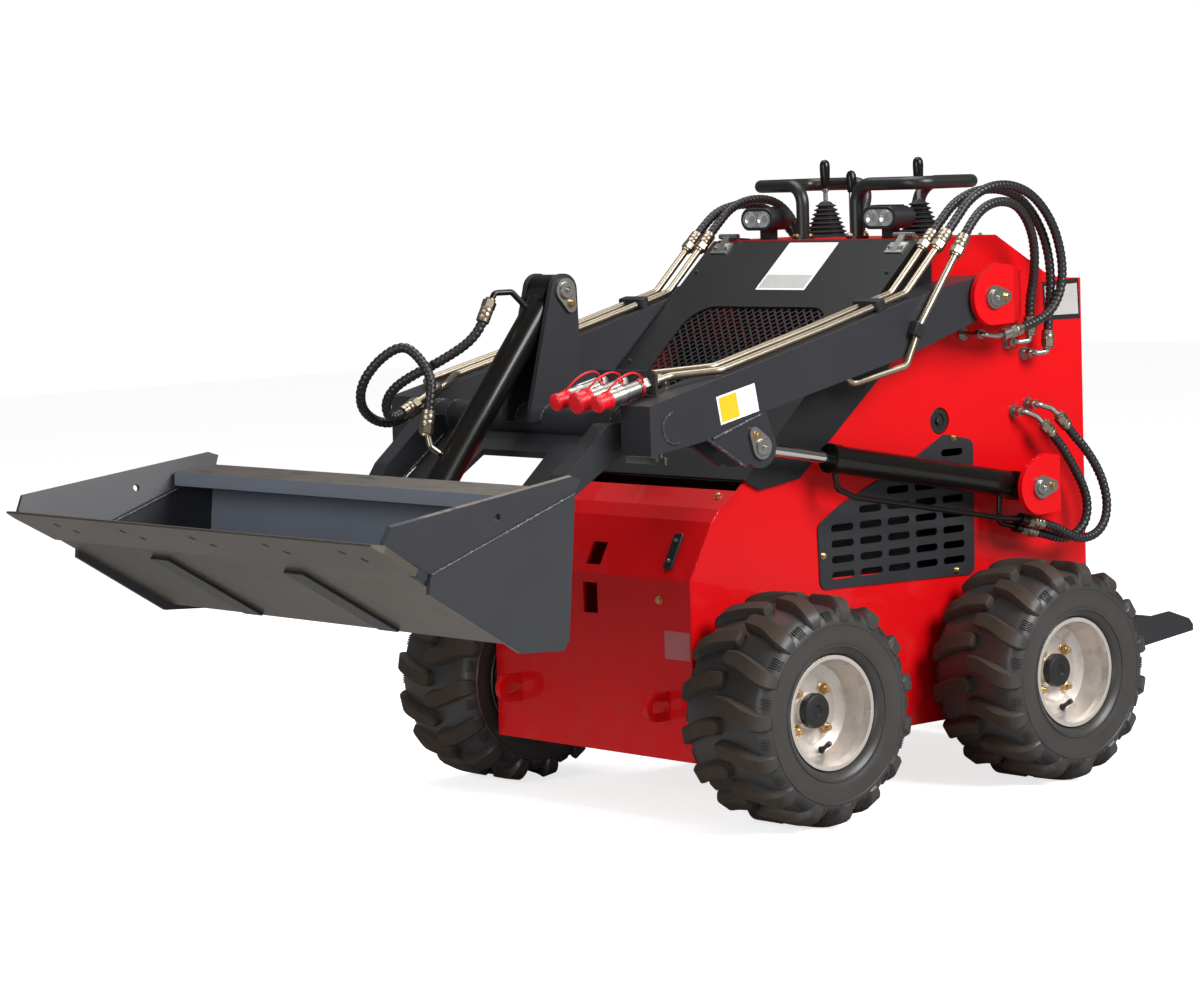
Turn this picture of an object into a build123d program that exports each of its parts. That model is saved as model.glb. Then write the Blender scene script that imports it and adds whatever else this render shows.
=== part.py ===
"""Stand-on mini skid steer loader with a bucket: frame, boom, cylinders, wheels, hood and platform.

Millimetres.  +X is the machine's left side, -Y its front, +Z up; z = 0 is the ground.
The origin is on the ground, under the middle of the length from the bucket's lip to the step's end.
"""
import os
from math import atan2, cos, degrees, hypot, radians, sin, sqrt, tan

from build123d import *

os.makedirs("parts", exist_ok=True)

# ---------------------------------------------------------------- driving dimensions
WHEELBASE = 700.0
FRONT_AXLE_Y = -137.5
REAR_AXLE_Y = FRONT_AXLE_Y + WHEELBASE
TYRE_R = 228.0
TRACK_HALF = 448.0            # middle plane of each tyre
TYRE_HALF = 119.0             # half of the tyre's section width
RIM_R = 113.0

BODY_HALF = 303.0             # outer face of the side panels
SHEET = 6.0
BODY_IN = BODY_HALF - SHEET
BODY_BOTTOM = 123.0
BODY_FRONT = -282.5
BODY_REAR = 875.5
CONSOLE_Z = 1129.0
HOOD_FOOT = (-144.5, 662.0)   # (y, z) where the hood's slope starts
HOOD_HINGE = (375.5, 1129.0)

ARM_IN, ARM_OUT = 316.0, 401.0        # faces of each lift arm
ARM_MID = (ARM_IN + ARM_OUT) / 2
CHEEK_IN, CHEEK_OUT = 406.0, 418.0    # outboard pivot brackets
BOOM_PIVOT = (481.0, 1004.8)
LIFT_BASE = (611.0, 602.1)            # lift cylinder's base pin
LIFT_EYE = (-172.0, 743.2)            # its rod's pin, on the arm
CROSS_TUBE = (-399.5, 800.0)
CROSS_TUBE_R = 32.0
TILT_BASE = (-359.5, 1056.0)          # tilt cylinder's upper pin
TILT_EYE = (-727.5, 600.0)            # its rod's pin, on the coupler plate
BUCKET_PIVOT = (-727.5, 450.0)
PIN_R = 15.0
FIT = 0.05                            # running clearance of a pin in its bore

SIDES = [("left", 1), ("right", -1)]


def place(side, low, high):
    """The x of a slab's lower face, and its thickness, on the left (side 1) or right (side -1)."""
    return (low if side > 0 else -high), high - low


def polar(centre, radius, angle):
    return (centre[0] + radius * cos(radians(angle)), centre[1] + radius * sin(radians(angle)))


def along(start, end, distance, lift=0.0):
    """A point on the way from start to end, moved sideways by lift."""
    length = hypot(end[0] - start[0], end[1] - start[1])
    uy, uz = (end[0] - start[0]) / length, (end[1] - start[1]) / length
    return (start[0] + uy * distance - uz * lift, start[1] + uz * distance + uy * lift)


def finish(part, name):
    part.label = name
    export_step(part, f"parts/{name}.step")


# ---------------------------------------------------------------- body panels
HOOD_SHEET = 5.0
HOOD_GAP = HOOD_SHEET + 6.0           # from the hood's outer face down to the side panel's edge
# outline of a side panel, (y, z), from the front foot round the hood's slope to the rear
SIDE_OUTLINE = [
    (BODY_FRONT, BODY_BOTTOM),
    (BODY_FRONT, 482.0),
    (-220.5, 594.0),
    (-198.5, 618.0),
    (-146.5, 650.0),
    along(HOOD_FOOT, HOOD_HINGE, 690, -HOOD_GAP),
    (HOOD_HINGE[0] + 6, CONSOLE_Z),
    (613.5, CONSOLE_Z),
    (711.5, 1074.0),
    (763.5, 1044.0),
    (807.5, 1031.0),
    (BODY_REAR, 1027.5),
    (BODY_REAR, BODY_BOTTOM),
]
# vent plate outline, (y, z)
VENT_OUTLINE = [
    (68.5, 562.0), (72.5, 431.0), (524.0, 421.0), (528.0, 703.0),
    (442.5, 721.0), (361.5, 683.0), (132.5, 599.0),
]
VENT_THICK = 3.0
PORT_HOLE = (431.5, 749.0, 28.0)      # y, z, radius of the round hole in each side panel

with BuildPart() as side_panels:
    for name, side in SIDES:
        low, thick = place(side, BODY_IN, BODY_HALF)
        with BuildSketch(Plane.YZ.offset(low)):
            with BuildLine():
                Polyline(*SIDE_OUTLINE, close=True)
            make_face()
            with Locations(PORT_HOLE[:2]):
                Circle(PORT_HOLE[2], mode=Mode.SUBTRACT)
            with BuildLine():
                Polyline(*VENT_OUTLINE, close=True)
            vent_face = make_face(mode=Mode.PRIVATE)
            offset(vent_face, amount=-22, kind=Kind.INTERSECTION, mode=Mode.SUBTRACT)
            with Locations(BOOM_PIVOT, LIFT_BASE):
                Circle(PIN_R + FIT, mode=Mode.SUBTRACT)
        extrude(amount=thick)
finish(side_panels.part, "side_panels")

# front plate: one folded sheet between the side panels, with two windows and two tow rings
FRONT_PATH = SIDE_OUTLINE[:5]
FRONT_WINDOW = (4.0, 44.0)            # middle x and width of both windows
TOW_X, TOW_Z = 229.0, 231.0
with BuildPart() as front_plate:
    with BuildSketch(Plane.YZ.offset(-BODY_IN)):
        with BuildLine():
            Polyline(*FRONT_PATH)
            offset(amount=SHEET, side=Side.RIGHT)
        make_face()
    extrude(amount=2 * BODY_IN)
    with BuildSketch(Plane.XZ.offset(-BODY_FRONT - 20)):
        with Locations((FRONT_WINDOW[0], 432.0)):
            Rectangle(FRONT_WINDOW[1], 62.0)
    extrude(amount=40, mode=Mode.SUBTRACT)
    with BuildSketch(Plane.XY.offset(498.0)):
        with Locations((FRONT_WINDOW[0], -255.0)):
            Rectangle(FRONT_WINDOW[1], 60.0)
    extrude(amount=44, mode=Mode.SUBTRACT)
    for x in (-TOW_X, TOW_X):
        with BuildSketch(Plane.YZ.offset(x - 7)):
            with Locations((BODY_FRONT - 20, TOW_Z)):
                SlotCenterToCenter(26, 56)
            with Locations((BODY_FRONT - 24, TOW_Z)):
                SlotCenterToCenter(20, 26, mode=Mode.SUBTRACT)
            with Locations((BODY_FRONT + 50, TOW_Z)):
                Rectangle(100, 100, mode=Mode.SUBTRACT)
        extrude(amount=14)
finish(front_plate.part, "front_plate")

with BuildPart() as floor_plate:
    with BuildSketch(Plane.XY.offset(BODY_BOTTOM)):
        with Locations((0, (BODY_FRONT + SHEET + BODY_REAR - SHEET) / 2)):
            Rectangle(2 * BODY_IN, BODY_REAR - BODY_FRONT - 2 * SHEET)
    extrude(amount=SHEET)
finish(floor_plate.part, "floor_plate")

# console: top sheet from the hood's hinge, sloping down to the operator
CONSOLE_PATH = [(HOOD_HINGE[0] + 6, CONSOLE_Z), *SIDE_OUTLINE[7:12]]
with BuildPart() as console:
    with BuildSketch(Plane.YZ.offset(-BODY_IN)):
        with BuildLine():
            Polyline(*CONSOLE_PATH)
            offset(amount=SHEET, side=Side.RIGHT)
        make_face()
    extrude(amount=2 * BODY_IN)
finish(console.part, "console")

REAR_SLOT = (300.0, 12.0)             # length and height of each louvre in the rear panel
with BuildPart() as rear_panel:
    with BuildSketch(Plane.XZ.offset(-BODY_REAR)):
        with Locations((0, (BODY_BOTTOM + SHEET + 1021.4) / 2)):
            Rectangle(2 * BODY_IN, 1021.4 - BODY_BOTTOM - SHEET)
        with Locations((0, 600)):
            with GridLocations(0, 36, 1, 7):
                SlotOverall(*REAR_SLOT, mode=Mode.SUBTRACT)
    extrude(amount=SHEET)
finish(rear_panel.part, "rear_panel")

# vent plates: rounded, with rows of obround slots that stay inside the outline
VENT_COLUMNS, VENT_ROWS = 5, 8
VENT_SLOT = (64.0, 15.0)
VENT_PITCH = (81.3, 32.2)
VENT_MIDDLE = (300.5, 569.0)
VENT_RIM = 15.0
half_slot = (VENT_SLOT[0] / 2, VENT_SLOT[1] / 2 + 0.5)
with BuildPart() as vent_plates:
    for name, side in SIDES:
        low, thick = place(side, BODY_HALF, BODY_HALF + VENT_THICK)
        with BuildSketch(Plane.YZ.offset(low)):
            with BuildLine():
                Polyline(*VENT_OUTLINE, close=True)
            outline = make_face()
            fillet(outline.vertices(), 18)
            with BuildLine():
                Polyline(*VENT_OUTLINE, close=True)
            clear = offset(make_face(mode=Mode.PRIVATE), amount=-VENT_RIM, mode=Mode.PRIVATE).face()
            with Locations(VENT_MIDDLE):
                with GridLocations(*VENT_PITCH, VENT_COLUMNS, VENT_ROWS) as grid:
                    spots = [spot.position for spot in grid.local_locations]
            for spot in spots:
                ends = [
                    Vector(spot.X + near * half_slot[0], spot.Y + over * half_slot[1], 0)
                    for near in (-1, 1) for over in (-1, 1)
                ]
                if all(clear.is_inside(end) for end in ends):
                    with Locations((spot.X, spot.Y)):
                        SlotOverall(*VENT_SLOT, mode=Mode.SUBTRACT)
        extrude(amount=thick)
finish(vent_plates.part, "vent_plates")

# ---------------------------------------------------------------- pivot brackets
# each is a bent plate: flat outboard of the arm or cylinder, then slanting in to the side panel
CHEEK_REACH = 60.0                    # from the pin to the free edge, and to the bend
CHEEK_FOOT = 205.0                    # from the pin to where the slanted leaf meets the panel
with BuildPart() as pivot_brackets:
    for name, side in SIDES:
        for pin in (BOOM_PIVOT, LIFT_BASE):
            y, z = pin
            foot = CHEEK_FOOT if pin == BOOM_PIVOT else 190.0
            with BuildSketch(Plane.XY.offset(z - CHEEK_REACH)):
                with BuildLine():
                    Polyline(
                        (side * CHEEK_OUT, y - CHEEK_REACH),
                        (side * CHEEK_OUT, y + CHEEK_REACH),
                        (side * BODY_HALF, y + foot),
                        (side * BODY_HALF, y + foot - 20),
                        (side * CHEEK_IN, y + CHEEK_REACH - 5),
                        (side * CHEEK_IN, y - CHEEK_REACH),
                        close=True,
                    )
                make_face()
            extrude(amount=2 * CHEEK_REACH + 14)
    with BuildSketch(Plane.YZ.offset(-CHEEK_OUT - 5)):
        for y, z in (BOOM_PIVOT, LIFT_BASE):
            with Locations((y, z)):
                Circle(CHEEK_REACH - 2)
            with BuildLine():
                Polyline(
                    polar((y, z), CHEEK_REACH - 2, 135),
                    (y + 10, z + CHEEK_REACH + 10),
                    (y + CHEEK_FOOT + 10, z + CHEEK_REACH - 20),
                    (y + CHEEK_FOOT + 10, z - CHEEK_REACH + 10),
                    polar((y, z), CHEEK_REACH - 2, 270),
                    (y, z),
                    close=True,
                )
            make_face()
    extrude(amount=2 * (CHEEK_OUT + 5), mode=Mode.INTERSECT)
    with BuildSketch(Plane.YZ.offset(-CHEEK_OUT - 5)):
        with Locations(BOOM_PIVOT, LIFT_BASE):
            Circle(PIN_R + FIT)
    extrude(amount=2 * (CHEEK_OUT + 5), mode=Mode.SUBTRACT)
finish(pivot_brackets.part, "pivot_brackets")

# pins through bracket, arm or cylinder eye and panel, each with a teardrop keeper plate
KEEPER_THICK = 6.0
KEEPER_ARM = 34.0


def keeper(centre, angle):
    """The outline of a pin's keeper plate: a teardrop from the pin to its bolt, at that angle."""
    tip = polar(centre, KEEPER_ARM, angle)
    with BuildSketch() as outline:
        with Locations(centre):
            Circle(24)
        with Locations(tip):
            Circle(13)
        with BuildLine():
            Polyline(
                polar(centre, 24, angle + 75), polar(tip, 13, angle + 75),
                polar(tip, 13, angle - 75), polar(centre, 24, angle - 75), close=True,
            )
        make_face()
    return outline.sketch


with BuildPart() as pivot_pins:
    for name, side in SIDES:
        for centre in (BOOM_PIVOT, LIFT_BASE):
            with BuildSketch(Plane.YZ.offset(side * BODY_IN)):
                with Locations(centre):
                    Circle(PIN_R)
            extrude(amount=side * (CHEEK_OUT + KEEPER_THICK + 3 - BODY_IN))
            with BuildSketch(Plane.YZ.offset(side * CHEEK_OUT)):
                add(keeper(centre, 0))
            extrude(amount=side * KEEPER_THICK)
finish(pivot_pins.part, "pivot_pins")

# ---------------------------------------------------------------- power and running gear
with BuildPart() as engine_block:
    with BuildSketch(Plane.XY.offset(150)):
        with Locations((0, 430)):
            Rectangle(340, 420)
    extrude(amount=430)
finish(engine_block.part, "engine_block")

# cooler pack behind the hood's grille, parallel with the hood
HOOD_SLOPE = degrees(atan2(HOOD_HINGE[1] - HOOD_FOOT[1], HOOD_HINGE[0] - HOOD_FOOT[0]))
COOLER_DROP = 95.0
with BuildPart() as cooler:
    low = along(HOOD_FOOT, HOOD_HINGE, 90, -COOLER_DROP)
    high = along(HOOD_FOOT, HOOD_HINGE, 470, -COOLER_DROP)
    deep_high = along(HOOD_FOOT, HOOD_HINGE, 470, -COOLER_DROP - 60)
    deep_low = along(HOOD_FOOT, HOOD_HINGE, 90, -COOLER_DROP - 60)
    with BuildSketch(Plane.YZ.offset(-BODY_IN)):
        with BuildLine():
            Polyline(low, high, deep_high, deep_low, close=True)
        make_face()
    extrude(amount=2 * BODY_IN)
finish(cooler.part, "cooler")

# four wheel motors: flange on the panel, housing, and the shaft that carries the wheel
MOTOR_R = 52.0
MOTOR_END = 440.0
SHAFT_R = 22.0
HUB_FACE = 470.0                      # outer face of the rim's disc
with BuildPart() as wheel_motors:
    for name, side in SIDES:
        for axle in (FRONT_AXLE_Y, REAR_AXLE_Y):
            for radius, start, end in (
                (75.0, BODY_HALF, BODY_HALF + 14),
                (MOTOR_R, BODY_HALF + 14, MOTOR_END),
                (SHAFT_R, MOTOR_END, HUB_FACE + 16),
            ):
                with BuildSketch(Plane.YZ.offset(side * start)):
                    with Locations((axle, TYRE_R)):
                        Circle(radius)
                extrude(amount=side * (end - start))
finish(wheel_motors.part, "wheel_motors")

# ---------------------------------------------------------------- wheels
# half section of a tyre's carcass, (x from its middle plane, radius), bead to crown; the
# carcass is made of flat facets, one ring of them to each band of the section
TYRE_SECTION = [(92.0, RIM_R), (TYRE_HALF, 162.0), (97.0, 205.0)]
FACETS = 30
LUGS = 15                             # on each side of the tread, staggered
LUG_BASE, LUG_FOOT = 172.0, 196.0     # radii where a lug's shoulder and its inner end start
LUG_TOP = 226.7                       # its flat top, with its corners still inside TYRE_R
# a lug seen from above: (x from the middle plane, distance round the tread)
LUG_OUTLINE = [
    (-8.0, 4.0), (-8.0, 30.0), (42.0, 20.0), (TYRE_HALF, -10.0), (TYRE_HALF, -40.0), (42.0, -12.0),
]
# a lug's section across the tyre, (x, height out from the axle)
LUG_SECTION = [
    (-20.0, LUG_FOOT), (-20.0, LUG_TOP), (88.0, LUG_TOP), (TYRE_HALF, 184.0), (97.0, 175.0),
]
SIDE_STEP = 180 / FACETS              # turns the facets so that each lug stands on one
WHEEL_PLANE = Plane(origin=(0, 0, 0), x_dir=(1, 0, 0), z_dir=(0, -1, 0))
with BuildPart() as tyre_form:
    rings = [*TYRE_SECTION, *[(-x, r) for x, r in reversed(TYRE_SECTION)]]
    for near, far in zip(rings, rings[1:]):
        if near[0] == far[0]:
            continue
        for x, radius in (near, far):
            with BuildSketch(Plane.YZ.offset(x)):
                RegularPolygon(radius, FACETS, rotation=SIDE_STEP)
        loft(ruled=True)
    with BuildSketch(Plane.YZ.offset(-TYRE_HALF)):
        RegularPolygon(RIM_R, FACETS, major_radius=False, rotation=SIDE_STEP)
    extrude(amount=2 * TYRE_HALF, mode=Mode.SUBTRACT)
for row in (1, -1):
    for lug in range(LUGS):
        turn = radians(360 / LUGS * (lug + (0.5 if row > 0 else 0)))
        out = Vector(0, sin(turn), cos(turn))
        around = Vector(1, 0, 0).cross(out)
        with BuildPart() as block:
            with BuildSketch(Plane(origin=out * LUG_BASE, x_dir=(1, 0, 0), z_dir=out)):
                with BuildLine():
                    Polyline(*[(row * x, v) for x, v in LUG_OUTLINE], close=True)
                make_face()
            extrude(amount=TYRE_R - LUG_BASE)
            with BuildSketch(Plane(origin=around * -60, x_dir=(1, 0, 0), z_dir=around)):
                with BuildLine():
                    Polyline(*[(row * x, r) for x, r in LUG_SECTION], close=True)
                make_face()
            extrude(amount=120, mode=Mode.INTERSECT)
        with tyre_form:
            add(block.part)

# rim: lips under the beads, a deep dish, the disc and its hub with the shaft's bore; it is
# turned so that the dish faces outboard
with BuildPart() as rim_form:
    with BuildSketch(WHEEL_PLANE):
        with BuildLine():
            Polyline(
                (-98, RIM_R), (98, RIM_R), (98, RIM_R - 8), (80, RIM_R - 10),
                (40, 92.0), (32, 70.0), (32, SHAFT_R + 14), (44, SHAFT_R + 12),
                (44, 0), (40, 0), (40, SHAFT_R + FIT), (-4, SHAFT_R + FIT),
                (-4, 62.0), (22, 66.0), (24, 88.0), (-80, 96.0), (-98, RIM_R - 8), close=True,
            )
        make_face()
    revolve(axis=Axis.X)

WHEELS = [
    ("front_left", 1, FRONT_AXLE_Y), ("front_right", -1, FRONT_AXLE_Y),
    ("rear_left", 1, REAR_AXLE_Y), ("rear_right", -1, REAR_AXLE_Y),
]
for name, side, axle in WHEELS:
    with BuildPart() as tyre:
        with Locations((side * TRACK_HALF, axle, TYRE_R)):
            add(tyre_form.part)
    finish(tyre.part, f"tyre_{name}")
    with BuildPart() as rim:
        with Locations(Location((side * TRACK_HALF, axle, TYRE_R), (0, 0, 90 - 90 * side))):
            add(rim_form.part)
    finish(rim.part, f"rim_{name}")

# ---------------------------------------------------------------- boom
# side outline of an arm, (y, z): tail boss, top edge, square front end, bottom edge
ARM_TAIL_R = 45.0
ARM_TOP = [(313.5, 1025.0), (27.5, 953.0), (-441.5, 845.0), (-458.5, 841.0)]
ARM_BOTTOM = [(-458.5, 745.0), (-308.5, 766.0), (-155.5, 812.0), (228.5, 893.0)]
GUSSET = [(-308.5, 766.0), (-213.0, 705.0)]
GUSSET_R = 42.0
GUSSET_THICK = 10.0
EYE_ROOM = 74.0                       # radius kept clear round the lift rod's eye
with BuildPart() as boom_arms:
    for name, side in SIDES:
        low, thick = place(side, ARM_IN, ARM_OUT)
        with BuildSketch(Plane.YZ.offset(low)):
            with Locations(BOOM_PIVOT):
                Circle(ARM_TAIL_R)
            with BuildLine():
                Polyline(
                    polar(BOOM_PIVOT, ARM_TAIL_R, 100), *ARM_TOP, *ARM_BOTTOM,
                    polar(BOOM_PIVOT, ARM_TAIL_R, 250), close=True,
                )
            make_face()
            with Locations(BOOM_PIVOT):
                Circle(PIN_R + FIT, mode=Mode.SUBTRACT)
        extrude(amount=thick)
        # two gusset plates under the arm hold the lift cylinder's rod between them
        for face in (low, low + thick - GUSSET_THICK):
            with BuildSketch(Plane.YZ.offset(face)):
                with Locations(LIFT_EYE):
                    Circle(GUSSET_R)
                with BuildLine():
                    Polyline(
                        *GUSSET, polar(LIFT_EYE, GUSSET_R, 225), LIFT_EYE,
                        polar(LIFT_EYE, GUSSET_R, 0), ARM_BOTTOM[2], (-230, 820), close=True,
                    )
                make_face()
            extrude(amount=GUSSET_THICK)
        # room for the rod's eye between the gussets
        with BuildSketch(Plane.YZ.offset(low + GUSSET_THICK)):
            with Locations(LIFT_EYE):
                Circle(EYE_ROOM)
        extrude(amount=thick - 2 * GUSSET_THICK, mode=Mode.SUBTRACT)
finish(boom_arms.part, "boom_arms")

# cross tube between the arms, with the sloping front plate and its window below it, and the
# legs down to the bucket's pivots
WINDOW_HALF = 100.0
LEG_IN, LEG_OUT = 255.0, 300.0
LEG_TOP = [(-480.0, 802.0), (-584.0, 716.0)]
LEG_BOTTOM = [(-566.5, 674.0), (-496.0, 715.0), (-399.5, 768.0)]
FRONT_SLOPE = [(-436.0, 762.0), (-560.0, 670.0)]
FRONT_SHEET = 10.0
LEG_R = 36.0
with BuildPart() as boom_front:
    with BuildSketch(Plane.YZ.offset(-LEG_IN)):
        with BuildLine():
            Polyline(
                *FRONT_SLOPE,
                along(*FRONT_SLOPE, hypot(124, 92), FRONT_SHEET),
                along(*FRONT_SLOPE, 0, FRONT_SHEET),
                (-399.5, 760), (-399.5, 775), (-425, 775), close=True,
            )
        make_face()
    extrude(amount=2 * LEG_IN)
    with BuildSketch(Plane.XY.offset(600)):
        with BuildLine():
            Polyline(
                (-WINDOW_HALF, -462), (WINDOW_HALF, -462), (WINDOW_HALF + 22, -600),
                (-WINDOW_HALF - 22, -600), close=True,
            )
        make_face()
    extrude(amount=300, mode=Mode.SUBTRACT)
    for name, side in SIDES:
        low, thick = place(side, LEG_IN, LEG_OUT)
        with BuildSketch(Plane.YZ.offset(low)):
            with Locations(BUCKET_PIVOT):
                Circle(LEG_R)
            with BuildLine():
                Polyline(
                    (-431.0, 806.0), (-470.0, 806.0), *LEG_TOP,
                    polar(BUCKET_PIVOT, LEG_R, 150), polar(BUCKET_PIVOT, LEG_R, -35),
                    *LEG_BOTTOM, close=True,
                )
            make_face()
            with Locations(BUCKET_PIVOT):
                Circle(PIN_R + FIT, mode=Mode.SUBTRACT)
        extrude(amount=thick)
    with BuildSketch(Plane.YZ.offset(-ARM_IN)):
        with Locations(CROSS_TUBE):
            Circle(CROSS_TUBE_R)
    extrude(amount=2 * ARM_IN)
finish(boom_front.part, "boom_front")

# tilt bracket: two tall plates on the cross tube, joined by a web behind
BRACKET_IN, BRACKET_OUT = 33.0, 45.0
BRACKET_R = 33.0
with BuildPart() as tilt_bracket:
    for name, side in SIDES:
        low, thick = place(side, BRACKET_IN, BRACKET_OUT)
        with BuildSketch(Plane.YZ.offset(low)):
            with Locations(TILT_BASE):
                Circle(BRACKET_R)
            with BuildLine():
                Polyline(
                    polar(TILT_BASE, BRACKET_R, 172), (-454.5, 828.0), (-454.5, 800.0),
                    (-399.5, 800.0), (-372.0, 812.0), (-322.0, 885.0),
                    polar(TILT_BASE, BRACKET_R, 0), close=True,
                )
            make_face()
            with Locations(CROSS_TUBE):
                Circle(CROSS_TUBE_R, mode=Mode.SUBTRACT)
            with Locations(TILT_BASE):
                Circle(PIN_R + FIT, mode=Mode.SUBTRACT)
        extrude(amount=thick)
    with BuildSketch(Plane.YZ.offset(-BRACKET_IN)):
        with BuildLine():
            Polyline(
                (-372.0, 831.0), (-334.0, 885.0), (-336.0, 980.0), (-326.5, 980.0),
                (-322.0, 885.0), (-360.0, 829.5), close=True,
            )
        make_face()
    extrude(amount=2 * BRACKET_IN)
finish(tilt_bracket.part, "tilt_bracket")

# pins on the boom: the ends of the lift rods' pins and the tilt cylinder's upper pin, with
# their keepers
with BuildPart() as boom_pins:
    for name, side in SIDES:
        with BuildSketch(Plane.YZ.offset(side * ARM_OUT)):
            add(keeper(LIFT_EYE, 125))
        extrude(amount=side * KEEPER_THICK)
        with BuildSketch(Plane.YZ.offset(side * (ARM_OUT + KEEPER_THICK))):
            with Locations(LIFT_EYE):
                Circle(PIN_R)
        extrude(amount=side * 3)
    with BuildSketch(Plane.YZ.offset(-BRACKET_OUT)):
        with Locations(TILT_BASE):
            Circle(PIN_R)
    extrude(amount=2 * BRACKET_OUT + KEEPER_THICK + 3)
    with BuildSketch(Plane.YZ.offset(BRACKET_OUT)):
        add(keeper(TILT_BASE, -68))
    extrude(amount=KEEPER_THICK)
finish(boom_pins.part, "boom_pins")

# ---------------------------------------------------------------- hydraulic cylinders
LIFT_TUBE_R, LIFT_ROD_R = 28.0, 12.5
TILT_TUBE_R, TILT_ROD_R = 30.0, 14.0
LIFT_TUBE_END = 567.0                 # from the base pin to the gland's face
TILT_TUBE_END = 478.0
EYE_R = 27.0
EYE_HALF = 27.0                  # half the width of the cylinders' eyes


def axis_plane(middle_x, start, end):
    """A plane whose z runs along a cylinder from its base pin towards its rod's pin."""
    run = Vector(0, end[0] - start[0], end[1] - start[1])
    return Plane(origin=(middle_x, *start), x_dir=(1, 0, 0), z_dir=run)


def reach(start, end):
    return hypot(end[0] - start[0], end[1] - start[1])


# name, middle x, base pin, rod pin, tube radius, rod radius, tube length, rod inside the tube
CYLINDERS = [
    ("lift", "left", ARM_MID, LIFT_BASE, LIFT_EYE, LIFT_TUBE_R, LIFT_ROD_R, LIFT_TUBE_END, 400.0),
    ("lift", "right", -ARM_MID, LIFT_BASE, LIFT_EYE, LIFT_TUBE_R, LIFT_ROD_R, LIFT_TUBE_END, 400.0),
    ("tilt", "middle", 0.0, TILT_BASE, TILT_EYE, TILT_TUBE_R, TILT_ROD_R, TILT_TUBE_END, 330.0),
]
GLAND = 26.0
# oil pipes on each barrel: (route with x outboard on the left machine side, swage's far end)
PORTS = {
    "lift": [
        ([(358.5, 549, 592), (360, 543, 530), (361, 590, 518)], (361, 652, 502)),
        (
            [(358.5, 66, 690), (368, 66, 640), (374, 110, 620), (380, 534, 541), (386, 580, 537)],
            (386, 647, 521),
        ),
    ],
    "tilt": [
        ([(0, -632, 738), (-14, -664, 765), (-20, -668, 800)], (-20, -660, 836)),
        ([(0, -408, 1012), (-14, -446, 1056), (-20, -484, 1056), (-20, -500, 1035)], (-20, -519, 1000)),
    ],
}
PORT_R = 6.0
SWAGE_R, SWAGE_LENGTH = 12.0, 36.0    # a swage is the ferrule crimped on a hose's end
for kind, name, middle, base, eye, tube_r, rod_r, tube_end, inside in CYLINDERS:
    line = axis_plane(middle, base, eye)
    length = reach(base, eye)
    suffix = "" if name == "middle" else f"_{name}"
    with BuildPart() as barrel:
        with BuildSketch(line.offset(34)):
            Circle(tube_r)
        extrude(amount=tube_end - 34 - GLAND)
        with BuildSketch(line.offset(tube_end - GLAND)):
            Circle(tube_r + 2)
        extrude(amount=GLAND)
        with BuildSketch(Plane.YZ.offset(middle - EYE_HALF)):
            with Locations(base):
                Circle(EYE_R + 4)
            with BuildLine():
                Polyline(
                    along(base, eye, 0, -EYE_R), along(base, eye, 40, -EYE_R),
                    along(base, eye, 40, EYE_R), along(base, eye, 0, EYE_R), close=True,
                )
            make_face()
        extrude(amount=2 * EYE_HALF)
        flip = -1 if middle < 0 else 1
        for points, end in PORTS[kind]:
            points = [(flip * x, y, z) for x, y, z in points]
            end = Vector(flip * end[0], end[1], end[2])
            with BuildLine() as route:
                FilletPolyline(*points, radius=10)
            with BuildSketch(route.line ^ 0):
                Circle(PORT_R)
            sweep(path=route.line)
            run = end - Vector(points[-1])
            with BuildSketch(Plane(origin=points[-1], z_dir=run)):
                Circle(SWAGE_R)
            extrude(amount=run.length)
        with BuildSketch(Plane.YZ.offset(middle - EYE_HALF)):
            with Locations(base):
                Circle(PIN_R + FIT)
        extrude(amount=2 * EYE_HALF, mode=Mode.SUBTRACT)
        with BuildSketch(line.offset(60)):
            Circle(rod_r + FIT)
        extrude(amount=tube_end - 60, mode=Mode.SUBTRACT)
    finish(barrel.part, f"{kind}_barrel{suffix}")

    with BuildPart() as rod:
        with BuildSketch(line.offset(tube_end - inside)):
            Circle(rod_r)
        extrude(amount=length - tube_end + inside - EYE_R + 4)
        with BuildSketch(Plane.YZ.offset(middle - EYE_HALF)):
            with Locations(eye):
                Circle(EYE_R)
        extrude(amount=2 * EYE_HALF)
        with BuildSketch(Plane.YZ.offset(middle - EYE_HALF)):
            with Locations(eye):
                Circle(PIN_R)
        extrude(amount=2 * EYE_HALF, mode=Mode.SUBTRACT)
    finish(rod.part, f"{kind}_rod{suffix}")

# ---------------------------------------------------------------- bucket and its coupler plate
BUCKET_HALF = 568.0                   # outer face of the side plates
BUCKET_SIDE = 10.0
BUCKET_SHEET = 8.0
LIP = (-1275.5, 659.0)
HEEL = (-917.5, 445.0)
BUCKET_BACK = [(-817.5, 446.0), (-792.5, 718.5)]
RAIL_FRONT = (-896.5, 711.0)
RAIL_DEPTH = 27.0
# floor, heel, back and top rail: (y, z) of the outside
SHELL_PATH = [
    along(LIP, HEEL, 120), HEEL, (-831.5, 440.0), *BUCKET_BACK, RAIL_FRONT,
    (RAIL_FRONT[0], RAIL_FRONT[1] - RAIL_DEPTH),
]
with BuildPart() as bucket_shell:
    with BuildSketch(Plane.YZ.offset(-BUCKET_HALF + BUCKET_SIDE)):
        with BuildLine():
            Polyline(*SHELL_PATH)
            offset(amount=BUCKET_SHEET, side=Side.RIGHT)
        make_face()
    extrude(amount=2 * (BUCKET_HALF - BUCKET_SIDE))
finish(bucket_shell.part, "bucket_shell")

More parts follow.
